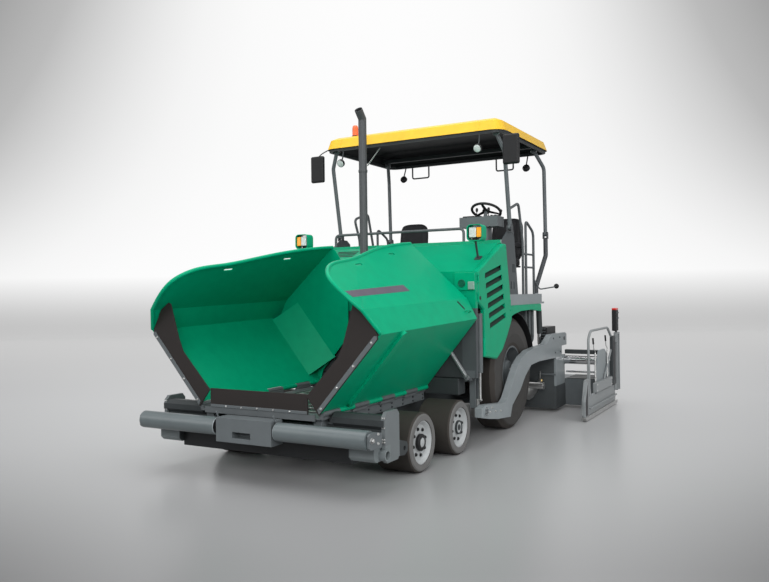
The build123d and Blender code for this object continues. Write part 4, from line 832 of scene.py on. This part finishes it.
def roof_fork(name, side, y):
    """Two rounded lugs for a post's eye, with a pin through them."""
    arc = [(y + 30 * cos(pi + pi * i / 12), PIN_Z + 30 * sin(pi + pi * i / 12)) for i in range(13)]
    lug = arc + [(y + 30, PIN_Z + 42), (y - 30, PIN_Z + 42)]
    for part, x in enumerate((1094, 1146), 1):
        plate("roof_fork_%s_%d" % (name, part), side, (x - 5.5, x + 5.5), lug, MID_GREY, 1.5, **FOR_CANOPY)
    turned("roof_pin_" + name, side, PIN, facing_out(side, 1088, (y, PIN_Z)), STEEL, **FOR_CANOPY)


def work_lamp(name, side, y, way, stem_y):
    aim = facing((0, way, -20), (side * 950, y, 3370))
    turned("work_lamp_" + name, side, LAMP_SHELL, aim, PLASTIC, 32, **FOR_CANOPY)
    stem = [(950, y + way / 3, 3372), (950, (y + stem_y) / 2, 3440), (950, stem_y, ROOF_Z - 20)]
    tube("lamp_stem_" + name, side, stem, 9, DARK_GREY, **FOR_CANOPY)


def mirror(side):
    block("mirror_shell", side, (1244, 1444), (3100, 3158), (3140, 3490), PLASTIC, 24, 5, **FOR_CANOPY)
    block("mirror_glass", side, (1256, 1432), (3157, 3162), (3152, 3478), MIRROR, 2, **ON_CANOPY)
    stay = ((1210, 3165, 3560), (1300, 3150, 3520), (1344, 3132, 3470))
    tube("mirror_stay", side, stay, 7, BLACK, 40, **ON_CANOPY)


roof_shell()
for number, y in enumerate(PIN_Y, 1):
    limits = (-1202, 1202), (y - 30, y + 30), (PIN_Z + 40, PIN_Z + 90)
    block("roof_crossbar_%d" % number, 0, *limits, DARK_GREY, **FOR_CANOPY)
for word, side in SIDES:
    for number, y in enumerate(PIN_Y, 1):
        roof_fork(str(number), side, y)
    work_lamp("front", side, 3105, -40, 3150)
    work_lamp("rear", side, 4800, 40, 4905)
    aims = facing((0, -40, -20), (side * 950, 3065, 3350)) + facing((0, 40, -20), (side * 950, 4840, 3350))
    turned("work_lamp_lenses", side, LAMP_LENS, aims, CLEAR_LENS, 32, **ON_CANOPY)
    mirror(side)
for number, (x0, x1) in enumerate(((-850, -580), (480, 730)), 1):
    loop = [(x0, 4920, ROOF_Z - 20), (x0, 4920, 3370), (x1, 4920, 3370), (x1, 4920, ROOF_Z - 20)]
    tube("grab_loop_%d" % number, 0, loop, 11, DARK_GREY, **FOR_CANOPY)
roof_top = corners("canopy")[1].z * 1000
BEACON, BEACON_FOOT = (-920, 3400), 24
base = ((50, -60), (50, 12), (46, 22), (42, BEACON_FOOT), (0, BEACON_FOOT))
turned("beacon_base", 0, base, facing(UP, (*BEACON, roof_top)), BLACK_TRIM, 36, **ON_CANOPY)
dome = ((40, 0), (40, 96), (36, 122), (24, 136), (0, 140))
turned("beacon_dome", 0, dome, facing(UP, (*BEACON, roof_top + BEACON_FOOT)), BEACON_LENS, 36, **ON_CANOPY)
tube("canopy_strut", 0, [(-489, 3300, 3545), (-682, 3300, 3330)], 8, STEEL, **ON_CANOPY)

# ---- end gates, screed extensions and screed steps
GATE_IN = 1790.3
CRANK_X = 1806
# rows of name, distances out from the gate's inner face, Y and Z, then a finish and a bevel if not plain
GATE_BLOCKS = (
    ("bar", (24, 50), (4950, 5870), (300, 430)),
    ("tie", (0, 25), (4950, 5870), (280, 430)),
    ("low_bar", (24, 58), (4640, 6120), (130, 150)),
    ("front_post", (0, 34), (4650, 4690), (290, 700)),
    ("rear_post", (0, 22), (6200, 6350), (190, 1040)),
    ("rear_rib_1", (22, 56), (6200, 6226), (190, 1040)),
    ("rear_rib_2", (22, 56), (6324, 6350), (190, 1040)),
    ("rear_cap", (22, 56), (6226, 6324), (1010, 1040)),
    ("rear_foot", (0, 40), (6100, 6201), (200, 290)),
    ("mid_post", (4, 48), (5930, 6090), (290, 1000), DARK_GREY),
    # black plate for the post's slot: painted shade inside it
    ("mid_slot", (48, 49.5), (5970, 6050), (360, 930), BLACK, 0.5),
    ("top_tie", (10, 40), (6085, 6205), (900, 940)),
    ("neck", (14, 38), (6225, 6275), (1039, 1075), DARK_GREY),
    ("box", (-20, 46), (6180, 6330), (1060, 1372), PLASTIC, 12),
    ("box_cap", (-20, 46), (6180, 6330), (1366, 1400), under("black_plastic", RED_LENS), 12),
)
GATE_PLATES = (
    ("plate", (0, 25), (
        (4350, 90), (4390, 40), (6150, 40), (6150, 300), (4760, 300), (4680, 520), (4480, 520), (4370, 260),
    ), GATE_GREY, 3),
    ("skid", (0, 58), ((4350, 60), (4400, 10), (6130, 10), (6150, 30), (6150, 60)),
     under("light_grey_paint", STEEL), 3),
    ("nose", (24, 54), ((4350, 61), (4350, 260), (4480, 500), (4480, 61)), GATE_GREY, 3),
    # black plate for the nose's recess: painted shade inside it
    ("nose_recess_shade", (54, 55.5), ((4366, 76), (4366, 250), (4468, 470), (4468, 76)),
     under("light_grey_paint", BLACK), 0),
)
EXTENSION_PLATE = ((5150, 85), (5150, 560), (5330, 840), (5640, 840), (5960, 640), (5960, 85))


def end_gate(word, side):
    """Plate, skid, nose, posts, loop and lamp box, all standing for the plain gate."""
    gate = {"body": "screed_extension_" + word, "node": "end_gate_" + word}
    for name, x, outline, mat, bevel in GATE_PLATES:
        plate("gate_" + name, side, (GATE_IN + x[0], GATE_IN + x[1]), outline, mat, bevel, **gate)
    for name, x, y, z, *look in GATE_BLOCKS:
        block("gate_" + name, side, (GATE_IN + x[0], GATE_IN + x[1]), y, z, *(look or [GATE_GREY]), **gate)
    for name, radius, bend, path in (
        ("gate_loop", 17, 50, ((4670, 690), (4670, 1040), (4790, 1135), (5730, 1135), (5960, 990))),
        ("gate_brace", 14, 0, ((5500, 425), (5960, 820))),
    ):
        tube(name, side, [(GATE_IN + 18, y, z) for y, z in path], radius, GATE_GREY, bend, **gate)


def gate_trim(word, side):
    """Bolts, height spindles with their cranks and grips, and the knobs of the lamp box."""
    gate = {"body": "screed_extension_" + word}
    spots = facing_out(side, 1840, *((y, z) for y in (4990, 5830) for z in (325, 405)))
    bolts("gate_bar_bolts", side, spots, 11, STEEL, **gate)
    spots = facing_out(side, GATE_IN + 22, *((y, z) for y in (6250, 6300) for z in (230, 420, 760, 960)))
    bolts("gate_post_bolts", side, spots, 11, STEEL, **gate)
    thread = [(9 + (2.5 if step % 2 else 0), 12 + step * 9) for step in range(42)]
    spindle = [(9, 0), *thread, (9, 395), (0, 396)]
    for number, y in enumerate((5030, 5720), 1):
        foot = facing(UP, (side * CRANK_X, y, 430))
        turned("gate_spindle_%d" % number, side, spindle, foot, STEEL, 14, smooth=False, **gate)
        crank = [(CRANK_X, y, 815), (CRANK_X, y, 850), (CRANK_X, y - 70, 880), (CRANK_X, y - 90, 960)]
        tube("gate_crank_%d" % number, side, crank, 6, STEEL, 20, **gate)
        grip = [(CRANK_X, y - 90, 950), (CRANK_X, y - 112, 1030)]
        tube("gate_grip_%d" % number, side, grip, 12, PLASTIC, **gate)
    knobs = facing_out(side, 1836, (6215, 1330), (6295, 1330), (6215, 1250), (6295, 1250), (6255, 1170))
    knob = ((13, 0), (13, 8), (9, 12), (0, 12))
    turned("panel_knobs", side, knob, knobs, under("black_plastic", MID_GREY), 20, **gate)


def extension(word, side):
    """Box body with covers, outer plate, upper beam, guide tube and thin rod."""
    out = {"body": "screed_extension_" + word, "node": "screed_extension_" + word}
    block("extension_body", side, (560, 1790), (5455, 5960), (45, 420), MID_GREY, 6, **out)
    plate("extension_plate", side, (1765, 1790), EXTENSION_PLATE, LIGHT_GREY, 4, **out)
    for name, y, z, radius, start in (("guide_tube", 5425, 690, 60, 540), ("thin_rod", 5450, 522, 16, 1290)):
        rod = ((0, 0), (radius - 3, 0), (radius, 3), (radius, 1779 - start), (0, 1779 - start))
        turned(name, side, rod, facing_out(side, start, (y, z)), CHROME, 48, **out)
    block("extension_beam", side, (1290, 1785), (5385, 5465), (776, 834), DARK_GREY, 5, **out)
    for number, y in enumerate((5520, 5700, 5880), 1):
        limits = (1290, 1764), (y - 70, y + 70), (420, 428)
        block("extension_cover_%d" % number, side, *limits, DARK_GREY, 3, **out)


def screed_step(side):
    """Step with slots, leg and ledge, and the brass plug under it."""
    block("screed_step", side, (1040, 1180), (4930, 5330), (930, 1170), BLACK, 10, **SCREED)
    for number, z in enumerate(range(980, 1150, 40), 1):
        block("step_slot_%d" % number, side, (1060, 1160), (4927, 4931), (z, z + 12),
              under("dark_grey_paint", MID_GREY), 1, **SCREED)
    block("screed_leg", side, (1050, 1110), (5005, 5035), (730, 935), DARK_GREY, **SCREED)
    block("screed_ledge", side, (1040, 1274), (4980, 5006), (505, 530), MID_GREY, **SCREED)
    plug = ((26, 0), (26, 22), (20, 24), (20, 40), (15, 44), (0, 44))
    spot = facing(FRONT, (side * 1063, 5005, 425))
    turned("brass_plug", side, plug, spot, BRASS, 6, smooth=False, **SCREED)


for word, side in SIDES:
    end_gate(word, side)
    gate_trim(word, side)
    extension(word, side)
    screed_step(side)

# ---- studio
YAW = radians(29.328)
PITCH = radians(-0.01)
ROLL = radians(-0.763)
EYE = Vector((4.3297, -5.2099 - MID_Y, 1.6971))
FLOOR_GAIN = 0.6
PAPER_TINT = (0.985, 0.99, 1.0)
# backdrop tones: painted falloff of light towards the wall's edges and the floor's front
WALL_TONES = ((0.0, 1.0), (0.1, 0.975), (0.2, 0.92), (0.3, 0.83), (0.43, 0.70), (0.65, 0.50), (1.0, 0.36))
FLOOR_TONES = ((0.023, 0.38), (0.073, 0.46), (0.127, 0.54), (0.209, 0.64), (0.355, 0.78), (0.545, 0.88),
               (1.0, 0.97))
SKY_TONES = ((0.0, 0.35), (0.45, 0.55), (0.62, 0.75), (0.9, 1.25))


def ramp(tree, value, stops, tint=(1, 1, 1)):
    node = tree.nodes.new("ShaderNodeValToRGB")
    for index, (place, tone) in enumerate(stops):
        spot = node.color_ramp.elements[index] if index < 2 else node.color_ramp.elements.new(place)
        spot.position = place
        spot.color = (*(tone * share for share in tint), 1)
    set_inputs(tree, node, {"Fac": value})
    return node.outputs["Color"]


def floor_mesh():
    """A floor that turns up into a back wall."""
    half, radius, back = 60.0, 10.0, 38.0
    rows = [(-40.0, 0.0), (back - radius, 0.0)]
    for step in range(1, 17):
        angle = pi / 2 * step / 16
        rows.append((back - radius + radius * sin(angle), radius - radius * cos(angle)))
    rows.append((back, 60.0))
    bm = bmesh.new()
    lines = [[bm.verts.new((across, along, up)) for across in (-half, half)] for along, up in rows]
    for low, high in zip(lines, lines[1:]):
        bm.faces.new((low[0], low[1], high[1], high[0]))
    mesh = closed_mesh("studio_floor", bm)
    mesh.shade_smooth()
    return mesh


def paper():
    """Paler in the middle, greyer towards its edges and darker close in front, a painted falloff of the
    studio light; the far part glows instead of being lit.
    """
    mat = bpy.data.materials.new("studio_paper")
    mat.use_nodes = True
    tree = mat.node_tree
    where = add(tree, "TexCoord", {})
    x, y, z = add(tree, "SeparateXYZ", {0: where.outputs["Object"]}).outputs
    across = times(tree, x, x)
    height = calc(tree, "MAXIMUM", calc(tree, "DIVIDE", calc(tree, "SUBTRACT", z, 1.7), 14.6), 0.0)
    spread = calc(tree, "DIVIDE", across, 19.3 ** 2 * 5)
    spread = times(tree, spread, calc(tree, "ADD", times(tree, height, 3.9), 1.0))
    wall = ramp(tree, spread, WALL_TONES)
    ground = ramp(tree, calc(tree, "DIVIDE", calc(tree, "SUBTRACT", y, 4.0), 22.0), FLOOR_TONES)
    near = calc(tree, "EXPONENT", times(tree, calc(tree, "SUBTRACT", y, 4.5), -0.727))
    near = times(tree, times(tree, near, across), 0.069)
    near = calc(tree, "MAXIMUM", calc(tree, "SUBTRACT", 1.0, near), 0.45)
    tone = times(tree, times(tree, wall, ground), near)
    far = {"Value": y, "From Min": 8.0, "From Max": 24.0}
    glow = add(tree, "MapRange", far, interpolation_type="SMOOTHSTEP").outputs["Result"]
    lit = times(tree, tone, calc(tree, "SUBTRACT", 1.0, glow))
    tinted = add(tree, "CombineColor", {
        index: times(tree, lit, share * FLOOR_GAIN) for index, share in enumerate(PAPER_TINT)
    })
    rise = add(tree, "MapRange", {"From Max": 2.5, "To Min": 0.35, "Value": z})
    glare = times(tree, glow, rise.outputs["Result"])
    shine = add(tree, "CombineColor", {index: times(tree, tone, glare) for index in range(3)})
    set_inputs(tree, tree.nodes["Principled BSDF"], {
        "Base Color": tinted.outputs[0], "Emission Color": shine.outputs[0], "Emission Strength": 1.0,
        "Roughness": 0.28, "Specular IOR Level": 0.22,
    })
    return mat


def sky():
    """Bright overhead, dimmer at eye level, so that upright paint keeps its colour."""
    world = bpy.data.worlds.new("studio_world")
    world.use_nodes = True
    tree = world.node_tree
    where = add(tree, "TexCoord", {})
    split = add(tree, "SeparateXYZ", {0: where.outputs["Generated"]})
    lifted = times(tree, calc(tree, "ADD", split.outputs[2], 1.0), 0.5)
    color = ramp(tree, lifted, SKY_TONES, (0.98, 0.99, 1.0))
    set_inputs(tree, tree.nodes["Background"], {"Color": color, "Strength": 0.8})
    return world


def area(name, place, target, size, power):
    lamp = bpy.data.lights.new(name, "AREA")
    lamp.shape = "RECTANGLE"
    lamp.size, lamp.size_y = size
    lamp.energy = power
    obj = new_object(name, lamp)
    obj.location = place
    obj.rotation_euler = (Vector(target) - Vector(place)).to_track_quat("-Z", "Y").to_euler()


floor = new_object("studio_floor", floor_mesh())
floor.rotation_euler.z = YAW
floor.location = (EYE.x, EYE.y, 0)
floor.data.materials.append(paper())
bpy.context.scene.world = sky()
area("top_softbox", (-0.5, -2.0, 7.5), (0.2, -0.5, 0.8), (7, 9), 300)
area("front_key", (4.2, -10.5, 4.4), (-0.4, -1.8, 1.0), (4, 3), 420)
area("right_fill", (9.5, -3.5, 3.6), (0, -0.5, 1.2), (5, 4), 330)
area("left_fill", (-6.0, -9.0, 4.5), (0, -1, 1.0), (5, 4), 120)
bpy.context.scene.view_settings.view_transform = "Standard"

# ---- camera
camera = new_object("camera", bpy.data.cameras.new("camera"))
camera.data.lens = 35.46
camera.data.sensor_width = 36.0
camera.data.clip_end = 200.0
turn = Matrix.Rotation(YAW, 4, "Z") @ Matrix.Rotation(pi / 2 + PITCH, 4, "X") @ Matrix.Rotation(ROLL, 4, "Z")
camera.matrix_world = Matrix.Translation(EYE) @ turn
bpy.context.scene.camera = camera
